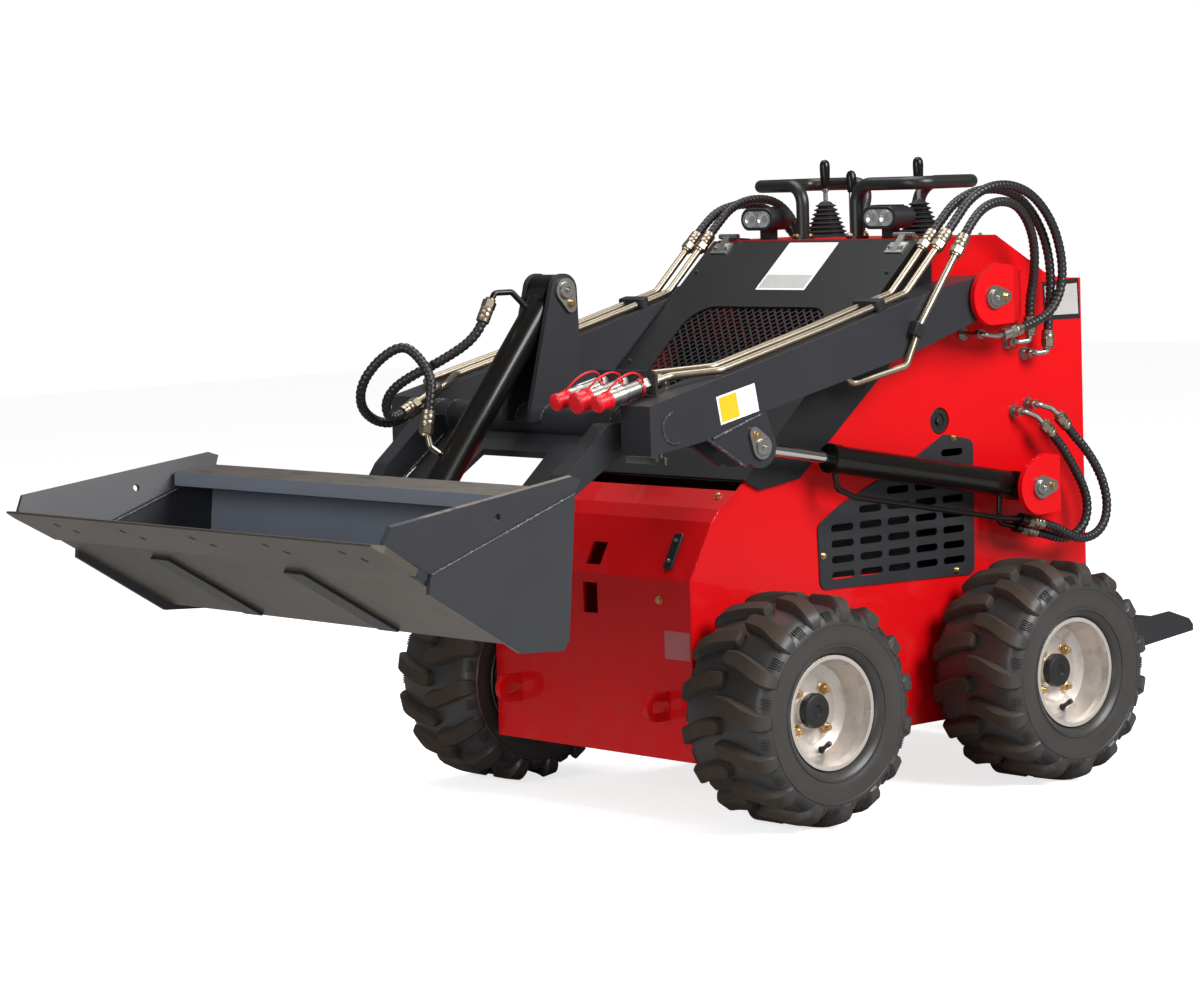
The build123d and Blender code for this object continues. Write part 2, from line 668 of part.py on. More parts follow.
# cutting edge: thicker, wider at the lip than the side plates, with staggered bolt holes, and
# the two wear strips under the floor
WEAR_STRIPS = [-247.0, 186.0]         # middle x of each
floor_run = Vector(0, HEEL[0] - LIP[0], HEEL[1] - LIP[1]).normalized()
FLOOR = Plane(origin=(0, *LIP), x_dir=(1, 0, 0), z_dir=Vector(1, 0, 0).cross(floor_run))
LIP_HALF, LIP_REACH, LIP_THICK, LIP_BLUNT = 593.0, 120.0, 14.0, 4.0
WING_LIP = 27.0                       # from the lip back to the wing plate's front corner
with BuildPart() as cutting_edge:
    with BuildSketch(FLOOR):
        with BuildLine():
            Polyline(
                (-LIP_HALF + 5, 0), (LIP_HALF - 5, 0), (LIP_HALF, WING_LIP),
                (BUCKET_HALF + 10, LIP_REACH), (-BUCKET_HALF - 10, LIP_REACH),
                (-LIP_HALF, WING_LIP), close=True,
            )
        make_face()
        for number in range(5):
            with Locations((-460 + 230 * number, 40), (-425 + 230 * number, 66)):
                Circle(8, mode=Mode.SUBTRACT)
    extrude(amount=LIP_THICK)
    # the lip is ground to a blunt edge from above
    with BuildSketch(Plane.YZ.offset(-LIP_HALF - 5)):
        with BuildLine():
            Polyline(
                along(LIP, HEEL, -2, LIP_BLUNT), along(LIP, HEEL, 0, LIP_BLUNT),
                along(LIP, HEEL, 22, LIP_THICK), along(LIP, HEEL, 22, LIP_THICK + 2),
                along(LIP, HEEL, -2, LIP_THICK + 2), close=True,
            )
        make_face()
    extrude(amount=2 * LIP_HALF + 10, mode=Mode.SUBTRACT)
    with BuildSketch(FLOOR):
        for x in WEAR_STRIPS:
            with Locations((x, 275)):
                Rectangle(60, 250)
    extrude(amount=-8)
finish(cutting_edge.part, "cutting_edge")

# side plates: upright below the seam, bent outboard above it as a wing
SEAM = [(-1130.5, 595.0), (-793.5, 711.0)]
WING_CORNER = (LIP_HALF - 2, -1252.5, 657.0)
WING = [WING_CORNER[1:], (-1235.5, 690.0), (-805.5, 743.0), (-782.5, 735.0), SEAM[1], SEAM[0]]
SIDE_FLAT = [
    (-1130.5, 600.0), (-1128.0, 601.0), (-796.5, 716.0), SEAM[1], (-794.5, 694.0), (-817.5, 446.0), (-831.5, 428.0), (-931.5, 434.0),
    (-1135.0, 560.0),
]
seam_start = Vector(BUCKET_HALF, *SEAM[0])
seam_run = Vector(0, SEAM[1][0] - SEAM[0][0], SEAM[1][1] - SEAM[0][1])
wing_out = seam_run.cross(Vector(*WING_CORNER) - seam_start).normalized()
wing_out = wing_out if wing_out.X > 0 else -wing_out
WING_PLANE = Plane(origin=seam_start, x_dir=seam_run, z_dir=wing_out)
WING_HOLE = (-982.5, 684.0, 7.0)      # y, z, radius of the round hole in each wing


def on_wing(y, z):
    """The place on the wing's own plane that lies at this y and z."""
    behind = wing_out.Y * (y - seam_start.Y) + wing_out.Z * (z - seam_start.Z)
    local = WING_PLANE.to_local_coords(Vector(BUCKET_HALF - behind / wing_out.X, y, z))
    return local.X, local.Y


with BuildPart() as bucket_sides:
    with BuildSketch(Plane.YZ.offset(BUCKET_HALF - BUCKET_SIDE)):
        with BuildLine():
            Polyline(*SIDE_FLAT, close=True)
        make_face()
    extrude(amount=BUCKET_SIDE)
    with BuildSketch(WING_PLANE.offset(-BUCKET_SIDE)):
        with BuildLine():
            Polyline(*[on_wing(y, z) for y, z in WING], close=True)
        make_face()
        with Locations(on_wing(*WING_HOLE[:2])):
            Circle(WING_HOLE[2], mode=Mode.SUBTRACT)
    extrude(amount=BUCKET_SIDE)
    with BuildSketch(FLOOR):
        Rectangle(3 * LIP_HALF, 2 * LIP_REACH + 1)
    extrude(amount=LIP_THICK, mode=Mode.SUBTRACT)
    mirror(about=Plane.YZ)
finish(bucket_sides.part, "bucket_sides")

# quick coupler behind the bucket: plate, pivot ears each side of the boom's legs, tilt ears
COUPLER_THICK = 12.0
COUPLER_HALF = 322.0
PIVOT_EARS = ((238.0, 249.0), (306.0, 317.0))
TILT_EARS = ((32.0, 44.0),)
PIVOT_EAR_R, TILT_EAR_R = 34.0, 30.0
coupler_low = along(BUCKET_BACK[0], BUCKET_BACK[1], 8)
coupler_high = along(BUCKET_BACK[0], BUCKET_BACK[1], 250)
with BuildPart() as quick_coupler:
    with BuildSketch(Plane.YZ.offset(-COUPLER_HALF)):
        with BuildLine():
            Polyline(
                coupler_low, coupler_high,
                along(*BUCKET_BACK, 250, -COUPLER_THICK), along(*BUCKET_BACK, 8, -COUPLER_THICK),
                close=True,
            )
        make_face()
    extrude(amount=2 * COUPLER_HALF)
    for ears, centre, radius in (
        (PIVOT_EARS, BUCKET_PIVOT, PIVOT_EAR_R), (TILT_EARS, TILT_EYE, TILT_EAR_R),
    ):
        for name, side in SIDES:
            for low, high in ears:
                start, thick = place(side, low, high)
                with BuildSketch(Plane.YZ.offset(start)):
                    with Locations(centre):
                        Circle(radius)
                    with BuildLine():
                        Polyline(
                            polar(centre, radius, 80), (-794.0, centre[1] + radius + 14),
                            (-794.0, centre[1] - radius + 26 - 14), polar(centre, radius, -110),
                            centre, close=True,
                        )
                    make_face()
                extrude(amount=thick)
    # pins: through each leg at the pivots, stubs in the tilt ears
    for name, side in SIDES:
        with BuildSketch(Plane.YZ.offset(side * PIVOT_EARS[0][0])):
            with Locations(BUCKET_PIVOT):
                Circle(PIN_R)
        extrude(amount=side * (PIVOT_EARS[1][1] + 8 - PIVOT_EARS[0][0]))
    with BuildSketch(Plane.YZ.offset(TILT_EARS[0][1])):
        with Locations(TILT_EYE):
            Circle(PIN_R)
    extrude(amount=8)
finish(quick_coupler.part, "quick_coupler")

# ---------------------------------------------------------------- hood with its grille
HINGE_AXIS = (HOOD_HINGE[0] + 3, CONSOLE_Z + 8)
HOOD_START = 14.0                     # distances up the slope, from the hood's foot
HOOD_END = hypot(HOOD_HINGE[0] - HOOD_FOOT[0], HOOD_HINGE[1] - HOOD_FOOT[1])
GRILLE = (90.0, 497.0, 215.0, 70.0)   # start, end, half width and corner radius
FLANGE_OUT, FLANGE_IN = 310.8, 308.0
slope_run = Vector(0, cos(radians(HOOD_SLOPE)), sin(radians(HOOD_SLOPE)))
SLOPE = Plane(origin=(0, *HOOD_FOOT), x_dir=(1, 0, 0), z_dir=Vector(1, 0, 0).cross(slope_run))
FLANGE_OUTLINE = [
    along(HOOD_FOOT, HOOD_HINGE, HOOD_START, -HOOD_SHEET), along(HOOD_FOOT, HOOD_HINGE, HOOD_START),
    along(HOOD_FOOT, HOOD_HINGE, HOOD_END - 2), (410.5, 1100.0),
    (410.5, 1040.0), (312.5, 899.0), (105.5, 733.0), (18.5, 663.0), (-92.5, 648.0),
]
with BuildPart() as hood:
    with BuildSketch(SLOPE):
        with Locations((0, (HOOD_START + HOOD_END - 2) / 2)):
            Rectangle(2 * FLANGE_OUT, HOOD_END - 2 - HOOD_START)
        with Locations((0, (GRILLE[0] + GRILLE[1]) / 2)):
            RectangleRounded(2 * GRILLE[2], GRILLE[1] - GRILLE[0], GRILLE[3], mode=Mode.SUBTRACT)
    extrude(amount=-HOOD_SHEET)
    for name, side in SIDES:
        low, thick = place(side, FLANGE_IN, FLANGE_OUT)
        with BuildSketch(Plane.YZ.offset(low)):
            with BuildLine():
                Polyline(*FLANGE_OUTLINE, close=True)
            make_face()
        extrude(amount=thick)
finish(hood.part, "hood")

# grille: a plate pierced by diamonds that leave two sets of crossing strands
CELL, STRAND = 31.0, 5.0              # pitch of the diamonds both ways, and a strand's width
HOLE_HALF = CELL / 2 - STRAND / sqrt(2)
with BuildPart() as hood_grille:
    with BuildSketch(SLOPE.offset(-HOOD_SHEET - 3)):
        with Locations((0, (GRILLE[0] + GRILLE[1]) / 2)):
            RectangleRounded(2 * GRILLE[2] + 24, GRILLE[1] - GRILLE[0] + 24, GRILLE[3] + 12)
            for columns, rows in ((13, 12), (12, 13)):
                with GridLocations(CELL, CELL, columns, rows):
                    Rectangle(HOLE_HALF * sqrt(2), HOLE_HALF * sqrt(2), rotation=45, mode=Mode.SUBTRACT)
    extrude(amount=3)
finish(hood_grille.part, "hood_grille")

# hinges: two, with a leaf on the hood and a leaf on the console
HINGE_X, HINGE_LENGTH, KNUCKLE_R, HINGE_PIN_R = 265.5, 56.0, 6.0, 3.0
with BuildPart() as hinge_leaves:
    for name, side in SIDES:
        with BuildSketch(Plane.YZ.offset(side * HINGE_X - 9)):
            with Locations(HINGE_AXIS):
                Circle(KNUCKLE_R)
                Circle(HINGE_PIN_R + FIT, mode=Mode.SUBTRACT)
            with BuildLine():
                Polyline(
                    along(HOOD_FOOT, HOOD_HINGE, HOOD_END - 6), along(HOOD_FOOT, HOOD_HINGE, HOOD_END - 40),
                    along(HOOD_FOOT, HOOD_HINGE, HOOD_END - 40, 2.5),
                    polar(HINGE_AXIS, KNUCKLE_R - 0.5, 150), polar(HINGE_AXIS, KNUCKLE_R - 0.5, 215),
                    close=True,
                )
            make_face()
        extrude(amount=18)
        # the leaf itself, wider than its knuckle
        with BuildSketch(Plane.YZ.offset(side * HINGE_X - HINGE_LENGTH / 2 + 3)):
            with BuildLine():
                Polyline(
                    along(HOOD_FOOT, HOOD_HINGE, HOOD_END - 12), along(HOOD_FOOT, HOOD_HINGE, HOOD_END - 42),
                    along(HOOD_FOOT, HOOD_HINGE, HOOD_END - 42, 2.5),
                    along(HOOD_FOOT, HOOD_HINGE, HOOD_END - 12, 2.5), close=True,
                )
            make_face()
        extrude(amount=HINGE_LENGTH - 6)
finish(hinge_leaves.part, "hinge_leaves")
with BuildPart() as hinge_brackets:
    for name, side in SIDES:
        for low in (side * HINGE_X - 28, side * HINGE_X + 9.5):
            with BuildSketch(Plane.YZ.offset(low)):
                with Locations(HINGE_AXIS):
                    Circle(KNUCKLE_R)
                with BuildLine():
                    Polyline(
                        (HINGE_AXIS[0] + 4, CONSOLE_Z), (HINGE_AXIS[0] + 36, CONSOLE_Z),
                        (HINGE_AXIS[0] + 36, CONSOLE_Z + 2.5), (HINGE_AXIS[0] + 5, CONSOLE_Z + 5),
                        polar(HINGE_AXIS, 4, 0), close=True,
                    )
                make_face()
            extrude(amount=18.5)
        with BuildSketch(Plane.YZ.offset(side * HINGE_X - 28)):
            with Locations(HINGE_AXIS):
                Circle(HINGE_PIN_R)
        extrude(amount=56)
finish(hinge_brackets.part, "hinge_brackets")

# ---------------------------------------------------------------- operator's controls
HANDLE_R, HANDLE_BEND = 14.0, 40.0
HANDLE_TOP = 1243.0
with BuildPart() as handle_bars:
    for name, side in SIDES:
        with BuildLine() as route:
            FilletPolyline(
                (side * 82, 425.5, CONSOLE_Z), (side * 82, 425.5, HANDLE_TOP),
                (side * 247, 442, HANDLE_TOP), (side * 247, 626, HANDLE_TOP),
                (side * 82, 626, HANDLE_TOP), (side * 82, 590, CONSOLE_Z + 4), radius=HANDLE_BEND,
            )
        with BuildSketch(route.line ^ 0):
            Circle(HANDLE_R)
        sweep(path=route.line)
        with BuildSketch(Plane.XY.offset(CONSOLE_Z)):
            with Locations((side * 82, 425.5), (side * 82, 589)):
                Circle(24)
        extrude(amount=6)
    with BuildSketch(Plane.XY.offset(CONSOLE_Z - 30)):
        Rectangle(800, 2000)
    extrude(amount=30, mode=Mode.SUBTRACT)
finish(handle_bars.part, "handle_bars")

LEVER_Y, LEVER_X = 552.5, 141.0
BOOT = [(0, 0), (45, 0), (45, 8), (38, 22), (41, 30), (30, 44), (33, 52), (18, 68), (7, 76)]
KNOB = [(7, 120), (13, 128), (14, 156), (9, 168), (0, 168)]
with BuildPart() as control_levers:
    for x in (-LEVER_X, LEVER_X):
        with BuildSketch(Plane(origin=(x, LEVER_Y, CONSOLE_Z), x_dir=(1, 0, 0), z_dir=(0, -1, 0))):
            with BuildLine():
                Polyline(*BOOT, *KNOB, close=True)
            make_face()
        revolve(axis=Axis((x, LEVER_Y, 0), (0, 0, 1)))
    with BuildSketch(Plane(origin=(0, 492.5, CONSOLE_Z), x_dir=(1, 0, 0), z_dir=(0, -1, 0))):
        with BuildLine():
            Polyline(
                (0, 0), (16, 0), (16, 10), (6, 16), (6, 112), (13, 118), (13, 138), (0, 144), close=True,
            )
        make_face()
    revolve(axis=Axis((0, 492.5, 0), (0, 0, 1)))
finish(control_levers.part, "control_levers")

LAMP_X, LAMP_Y, LAMP_Z = 185.0, 391.5, 1173.0
with BuildPart() as work_lamps:
    for x in (-LAMP_X, LAMP_X):
        with BuildSketch(Plane.XZ.offset(-LAMP_Y)):
            with Locations((x, LAMP_Z)):
                SlotOverall(100, 48)
        extrude(amount=-46)
        with BuildSketch(Plane.XZ.offset(-LAMP_Y - 46)):
            with Locations((x, LAMP_Z)):
                SlotOverall(78, 34)
        extrude(amount=-20)
        with BuildSketch(Plane.XY.offset(CONSOLE_Z)):
            with Locations((x, LAMP_Y + 30)):
                Rectangle(30, 24)
        extrude(amount=24)
finish(work_lamps.part, "work_lamps")

# ---------------------------------------------------------------- rear platform
PLATFORM_HINGE = (900.0, 232.0)
PLATFORM_X, PLATFORM_SHEET = 262.0, 5.0
PLATFORM_PIN_R = 8.0
PLATFORM_SIDE = [
    (887.5, 190.0), (887.5, 240.0), (893.0, 246.0), (1196.5, 269.0), (1262.0, 247.0),
    (1275.5, 232.0), (1275.5, 218.0), (1094.5, 199.0), (900.0, 180.0),
]
DECK = [(905.0, 214.0), (1262.0, 244.0)]
with BuildPart() as platform:
    for name, side in SIDES:
        low, thick = place(side, PLATFORM_X - PLATFORM_SHEET, PLATFORM_X)
        with BuildSketch(Plane.YZ.offset(low)):
            with BuildLine():
                Polyline(*PLATFORM_SIDE, close=True)
            make_face()
            with Locations(PLATFORM_HINGE):
                Circle(PLATFORM_PIN_R + FIT, mode=Mode.SUBTRACT)
        extrude(amount=thick)
    with BuildSketch(Plane.YZ.offset(-PLATFORM_X + PLATFORM_SHEET)):
        with BuildLine():
            Polyline(
                (905.0, 190.0), DECK[0], DECK[1], (1268.0, 236.0), (1272.0, 222.0),
                (1267.0, 221.0), (1262.0, 238.0), (911.0, 208.5), (911.0, 190.0), close=True,
            )
        make_face()
    extrude(amount=2 * (PLATFORM_X - PLATFORM_SHEET))
finish(platform.part, "platform")

EAR_IN, EAR_OUT = PLATFORM_X + 5.5, PLATFORM_X + 15.5
with BuildPart() as platform_brackets:
    for name, side in SIDES:
        low, thick = place(side, EAR_IN, EAR_OUT)
        with BuildSketch(Plane.YZ.offset(low)):
            with Locations(PLATFORM_HINGE):
                Circle(18)
            with BuildLine():
                Polyline(
                    (BODY_REAR, 180), (BODY_REAR, 272), polar(PLATFORM_HINGE, 18, 60),
                    polar(PLATFORM_HINGE, 18, -60), close=True,
                )
            make_face()
            with Locations((BODY_REAR - 50, 232)):
                Rectangle(100, 200, mode=Mode.SUBTRACT)
        extrude(amount=thick)
        with BuildSketch(Plane.YZ.offset(side * (PLATFORM_X - PLATFORM_SHEET - 4))):
            with Locations(PLATFORM_HINGE):
                Circle(PLATFORM_PIN_R)
        extrude(amount=side * (EAR_OUT - PLATFORM_X + PLATFORM_SHEET + 8))
finish(platform_brackets.part, "platform_brackets")

# ---------------------------------------------------------------- pipework on the boom
TUBE_R = 7.5
COUPLER_PLATE_Y = -392.0              # rear face of the plate that holds the quick couplers
# every route: bend radius, and its points from the swage at the rear, (x, y, z), to its front
# end; the third tube runs into the left arm behind its middle and out again in front
TUBE_REAR = [(363.0, 1117.0), (262.0, 1022.0), (27.5, 963.0)]     # (y, z) shared by the arm tubes
TUBE_ROUTES = [
    (30, [*[(337.5, y, z) for y, z in TUBE_REAR], (337.5, -235, 902), (268, -330, 893), (265, -390, 879)]),
    (30, [*[(378.5, y, z) for y, z in TUBE_REAR], (378.5, -255, 897), (328, -340, 890), (325, -390, 879)]),
    (20, [(409.5, 385, 1105), (409.5, 270, 958), (409.5, 228, 878), (358.5, 120, 846), (358.5, 95, 885)]),
    (30, [*[(-337.5, y, z) for y, z in TUBE_REAR], (-337.5, -340, 878), (-240, -440, 866), (-230, -525, 827)]),
    (30, [*[(-378.5, y, z) for y, z in TUBE_REAR], (-378.5, -385, 868), (-200, -490, 866), (-190, -565, 835)]),
    (12, [(330, -318, 840), (296, -320, 840), (292, -324, 884), (245, -332, 889), (205, -360, 889), (205, -390, 879)]),
]
REAR_SWAGES, FRONT_SWAGES = [0, 1, 2, 3, 4], [3, 4]      # routes that end in a hose there
with BuildPart() as boom_tubes:
    for index, (bend, points) in enumerate(TUBE_ROUTES):
        with BuildLine() as route:
            FilletPolyline(*points, radius=bend)
        with BuildSketch(route.line ^ 0):
            Circle(TUBE_R)
        sweep(path=route.line)
        for ends, end, beyond in (
            (REAR_SWAGES, points[0], points[1]), (FRONT_SWAGES, points[-1], points[-2]),
        ):
            if index not in ends:
                continue
            out = (Vector(end) - Vector(beyond)).normalized()
            with BuildSketch(Plane(origin=end, z_dir=out)):
                Circle(SWAGE_R)
            extrude(amount=SWAGE_LENGTH)
    add(boom_arms.part, mode=Mode.SUBTRACT)
finish(boom_tubes.part, "boom_tubes")

# three quick couplers for attachments, on an upright plate, and their caps
COUPLER_RUN = Vector(0, -0.974, -0.225)
COUPLER_X = [205.0, 265.0, 325.0]
COUPLER_STEPS = [(15.0, 0.0, 22.0), (12.5, 22.0, 64.0), (16.0, 64.0, 104.0)]   # radius, start, end
PLATE_THICK = 6.0
with BuildPart() as aux_couplers:
    with BuildSketch(Plane.XZ.offset(-COUPLER_PLATE_Y)):
        with BuildLine():
            Polyline((178, 860), (178, 896), (186, 904), (344, 904), (352, 896), (352, 858), close=True)
        make_face()
    extrude(amount=PLATE_THICK)
    for x in COUPLER_X:
        start = Vector(x, COUPLER_PLATE_Y - PLATE_THICK, 877)
        for radius, low, high in COUPLER_STEPS:
            with BuildSketch(Plane(origin=start + COUPLER_RUN * (low - 2), z_dir=COUPLER_RUN)):
                Circle(radius)
            extrude(amount=high - low + 2)
finish(aux_couplers.part, "aux_couplers")

with BuildPart() as coupler_caps:
    for x, radius in zip(COUPLER_X, (17.0, 21.0, 17.0)):
        start = Vector(x, COUPLER_PLATE_Y - PLATE_THICK, 877) + COUPLER_RUN * (COUPLER_STEPS[-1][2] + 0.3)
        with BuildSketch(Plane(origin=start, z_dir=COUPLER_RUN)):
            Circle(radius)
        extrude(amount=32)
finish(coupler_caps.part, "coupler_caps")

# ---------------------------------------------------------------- hose ends on the body
# every fitting: (y, z) on the panel, how far its stub stands out, and the elbow's route after it
FITTINGS = [
    ((505, 926), 62, [(368, 540, 921), (368, 556, 922)], (368, 612, 933)),
    ((638, 902), 30, [(345, 664, 904), (345, 668, 925)], (345, 668, 955)),
    ((690, 876), 34, [(350, 714, 878), (350, 716, 894)], (350, 718, 923)),
    ((655, 755), 32, [(343, 684, 742), (350, 699, 725)], (352, 721, 703)),
    ((699, 767), 32, [(343, 730, 757), (350, 746, 741)], (352, 769, 716)),
]
NUT_R, STUB_R = 14.0, 6.0
with BuildPart() as hose_fittings:
    for (y, z), out, elbow, end in FITTINGS:
        start = Vector(BODY_HALF, y, z)
        corner = Vector(BODY_HALF + out, y, z)
        with BuildSketch(Plane.YZ.offset(BODY_HALF)):
            with Locations((y, z)):
                Circle(NUT_R)
        extrude(amount=5)
        with BuildSketch(Plane.YZ.offset(BODY_HALF + out - 20)):
            with Locations((y, z)):
                RegularPolygon(11, 6)
        extrude(amount=12)
        with BuildLine() as route:
            FilletPolyline(start, corner, *elbow, radius=8)
        with BuildSketch(route.line ^ 0):
            Circle(STUB_R)
        sweep(path=route.line)
        run = (Vector(end) - Vector(elbow[-1]))
        with BuildSketch(Plane(origin=elbow[-1], z_dir=run)):
            Circle(SWAGE_R)
        extrude(amount=run.length)
    mirror(about=Plane.YZ)
finish(hose_fittings.part, "hose_fittings")

# ---------------------------------------------------------------- hoses
HOSE_R = 10.0


def bend_radii(points):
    """The largest fair radius at each corner of a route."""
    radii = []
    for before, here, after in zip(points, points[1:], points[2:]):
        run_in = Vector(here) - Vector(before)
        run_out = Vector(after) - Vector(here)
        half_turn = radians(run_in.get_angle(run_out)) / 2
        radii.append(0.45 * min(run_in.length, run_out.length) / tan(half_turn))
    return radii


def swage_face(end, beyond):
    """The outer face of a swage that runs on from a tube's end, and its direction."""
    out = (Vector(end) - Vector(beyond)).normalized()
    return Vector(end) + out * SWAGE_LENGTH, out


def fitting_face(start, end, side=1):
    """The outer face of a fitting's swage, a running gap beyond it, and its direction."""
    out = (Vector(end) - Vector(start)).normalized()
    face = Vector(end) + out * HOSE_GAP
    return Vector(side * face.X, face.Y, face.Z), Vector(side * out.X, out.Y, out.Z)


HOSE_GAP = 0.4
LEAD = 34.0                           # a hose leaves each swage straight for this length
rear_faces = [swage_face(points[0], points[1]) for _, points in TUBE_ROUTES]
front_faces = [swage_face(points[-1], points[-2]) for _, points in TUBE_ROUTES]
body_left = [fitting_face(elbow[-1], end) for _, _, elbow, end in FITTINGS]
body_right = [fitting_face(elbow[-1], end, -1) for _, _, elbow, end in FITTINGS]
lift_ports = [fitting_face(points[-1], end) for points, end in PORTS["lift"]]
tilt_ports = [fitting_face(points[-1], end) for points, end in PORTS["tilt"]]

# every hose: the swage it starts from, the points between, the swage it ends in
BOOM_HOSES = [
    (rear_faces[1], [
        (378, 455, 1206), (378, 515, 1232), (378, 585, 1234), (376, 655, 1209), (374, 714, 1150),
        (373, 742, 1075), (372, 740, 1010), (370, 705, 960),
    ], body_left[0]),
    (rear_faces[0], [
        (338, 456, 1202), (338, 520, 1224), (338, 595, 1226), (340, 662, 1200), (343, 712, 1140),
        (347, 732, 1070), (349, 730, 1005),
    ], body_left[2]),
    (rear_faces[2], [
        (405, 472, 1191), (400, 530, 1202), (394, 585, 1190), (386, 628, 1150), (374, 656, 1100),
        (358, 670, 1040),
    ], body_left[1]),
    (rear_faces[3], [
        (-338, 456, 1200), (-338, 520, 1217), (-338, 590, 1210), (-341, 644, 1170),
        (-344, 672, 1110), (-346, 680, 1045),
    ], body_right[1]),
    (rear_faces[4], [
        (-378, 456, 1194), (-378, 525, 1206), (-378, 595, 1196), (-376, 655, 1158),
        (-370, 702, 1100), (-361, 726, 1040), (-353, 728, 985),
    ], body_right[2]),
]
LIFT_HOSES = [
    (body_left[3], [
        (355, 757, 663), (357, 787, 622), (359, 812, 580), (360, 822, 538), (361, 806, 500),
        (361, 766, 480), (361, 722, 482),
    ], lift_ports[0]),
    (body_left[4], [
        (358, 812, 672), (364, 842, 632), (370, 862, 588), (377, 865, 542), (382, 848, 502),
        (385, 810, 480), (387, 762, 478), (387, 714, 496),
    ], lift_ports[1]),
]
TILT_HOSES = [
    (front_faces[3], [
        (-222, -640, 806), (-204, -688, 838), (-180, -702, 886), (-146, -682, 934),
        (-112, -648, 962), (-76, -636, 938), (-34, -640, 898),
    ], tilt_ports[0]),
    (front_faces[4], [
        (-174, -650, 838), (-142, -656, 872), (-104, -634, 900), (-64, -594, 925),
    ], tilt_ports[1]),
]


def mirrored(face):
    return Vector(-face[0].X, face[0].Y, face[0].Z), Vector(-face[1].X, face[1].Y, face[1].Z)


lift_hoses_right = [
    (mirrored(start), [(-x, y, z) for x, y, z in middle], mirrored(end))
    for start, middle, end in LIFT_HOSES
]
HOSE_NODES = [
    ("boom_hoses", BOOM_HOSES), ("lift_hoses_left", LIFT_HOSES), ("lift_hoses_right", lift_hoses_right),
    ("tilt_hoses", TILT_HOSES),
]
for name, routes in HOSE_NODES:
    with BuildPart() as hoses:
        for start, middle, end in routes:
            lead_out, lead_in = start[0] + start[1] * LEAD, end[0] + end[1] * LEAD
            points = [start[0], lead_out, *middle, lead_in, end[0]]
            radii = bend_radii(points)
            print(name, "radii", [round(r) for r in radii])
            with BuildLine() as route:
                FilletPolyline(*points, radius=radii)
            with BuildSketch(route.line ^ 0):
                Circle(HOSE_R)
            sweep(path=route.line)
            print("  length", round(sum(edge.length for edge in route.edges())))
    print(name, "volume", round(hoses.part.volume))
    finish(hoses.part, name)
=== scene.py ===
# %% [markdown]
# # A stand-on skid steer loader, dressed in Blender
# The machine's solids come from its CAD model and stay where they are. Each cell below adds one
# kind of detail that the real machine has: hoses, paint, tyres, a grille, screws, weld beads,
# lamps and levers. Lengths are written in millimetres, as on a workshop drawing, and turned into
# Blender's metres by one helper.

# %% Load the CAD frame
import math

import bmesh
import bpy
from mathutils import Matrix, Vector


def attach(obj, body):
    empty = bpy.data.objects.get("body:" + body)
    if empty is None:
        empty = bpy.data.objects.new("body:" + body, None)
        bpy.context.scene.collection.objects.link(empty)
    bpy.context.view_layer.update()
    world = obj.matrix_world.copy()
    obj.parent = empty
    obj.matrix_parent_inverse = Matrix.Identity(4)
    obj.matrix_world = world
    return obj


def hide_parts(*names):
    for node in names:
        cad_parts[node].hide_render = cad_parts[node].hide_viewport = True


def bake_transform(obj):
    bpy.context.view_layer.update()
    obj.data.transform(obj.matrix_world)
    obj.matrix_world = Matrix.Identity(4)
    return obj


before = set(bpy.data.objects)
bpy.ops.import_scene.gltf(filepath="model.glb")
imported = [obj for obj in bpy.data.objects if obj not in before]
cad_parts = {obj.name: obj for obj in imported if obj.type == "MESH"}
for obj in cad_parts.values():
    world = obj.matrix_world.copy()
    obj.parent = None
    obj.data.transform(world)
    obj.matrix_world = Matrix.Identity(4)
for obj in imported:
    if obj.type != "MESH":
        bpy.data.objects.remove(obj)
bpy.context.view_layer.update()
MM = 0.001


def at(x, y, z):
    """A place on the machine, given in millimetres."""
    return Vector((x, y, z)) * MM


def in_scene(name, data):
    """A new object at the origin with this data, linked into the scene."""
    thing = bpy.data.objects.new(name, data)
    bpy.context.scene.collection.objects.link(thing)
    return thing


# %% [markdown]
# ## Camera
# A long lens, a little above the machine and to its left front. It could be aimed with a Track To
# constraint, but a matrix built from the viewing direction also takes the small roll, and nothing
# is left live in the scene.

# %% Aim the camera
TURN, TILT, ROLL = math.radians(49.26), math.radians(5.16), math.radians(-1.85)
lens = bpy.data.cameras.new("camera")
lens.lens, lens.sensor_width = 110.63, 36.0
camera = in_scene("camera", lens)
back = Vector((math.sin(TURN) * math.cos(TILT), -math.cos(TURN) * math.cos(TILT), math.sin(TILT)))
side = Vector((math.cos(TURN), math.sin(TURN), 0))
up = back.cross(side)
side, up = side * math.cos(ROLL) + up * math.sin(ROLL), up * math.cos(ROLL) - side * math.sin(ROLL)
camera.matrix_world = (
    Matrix.Translation((5.6287, -5.0932, 1.2972)) @ Matrix((side, up, back)).transposed().to_4x4()
)
bpy.context.scene.camera = camera
print("lens", lens.lens, "mm")

# %% [markdown]
# ## Helpers that turn points and faces into pieces
# Every finished piece is a mesh whose object stays at the origin. Flat faces stay crisp and round
# ones smooth when the mesh is shaded smooth and its sharp edges are marked by angle, so one helper
# does that for all. A second one turns a profile round an axis, as a lathe does.

# %% Make a mesh object
NEEDLE = 0.02                                 # the least radius of a turned profile, in millimetres


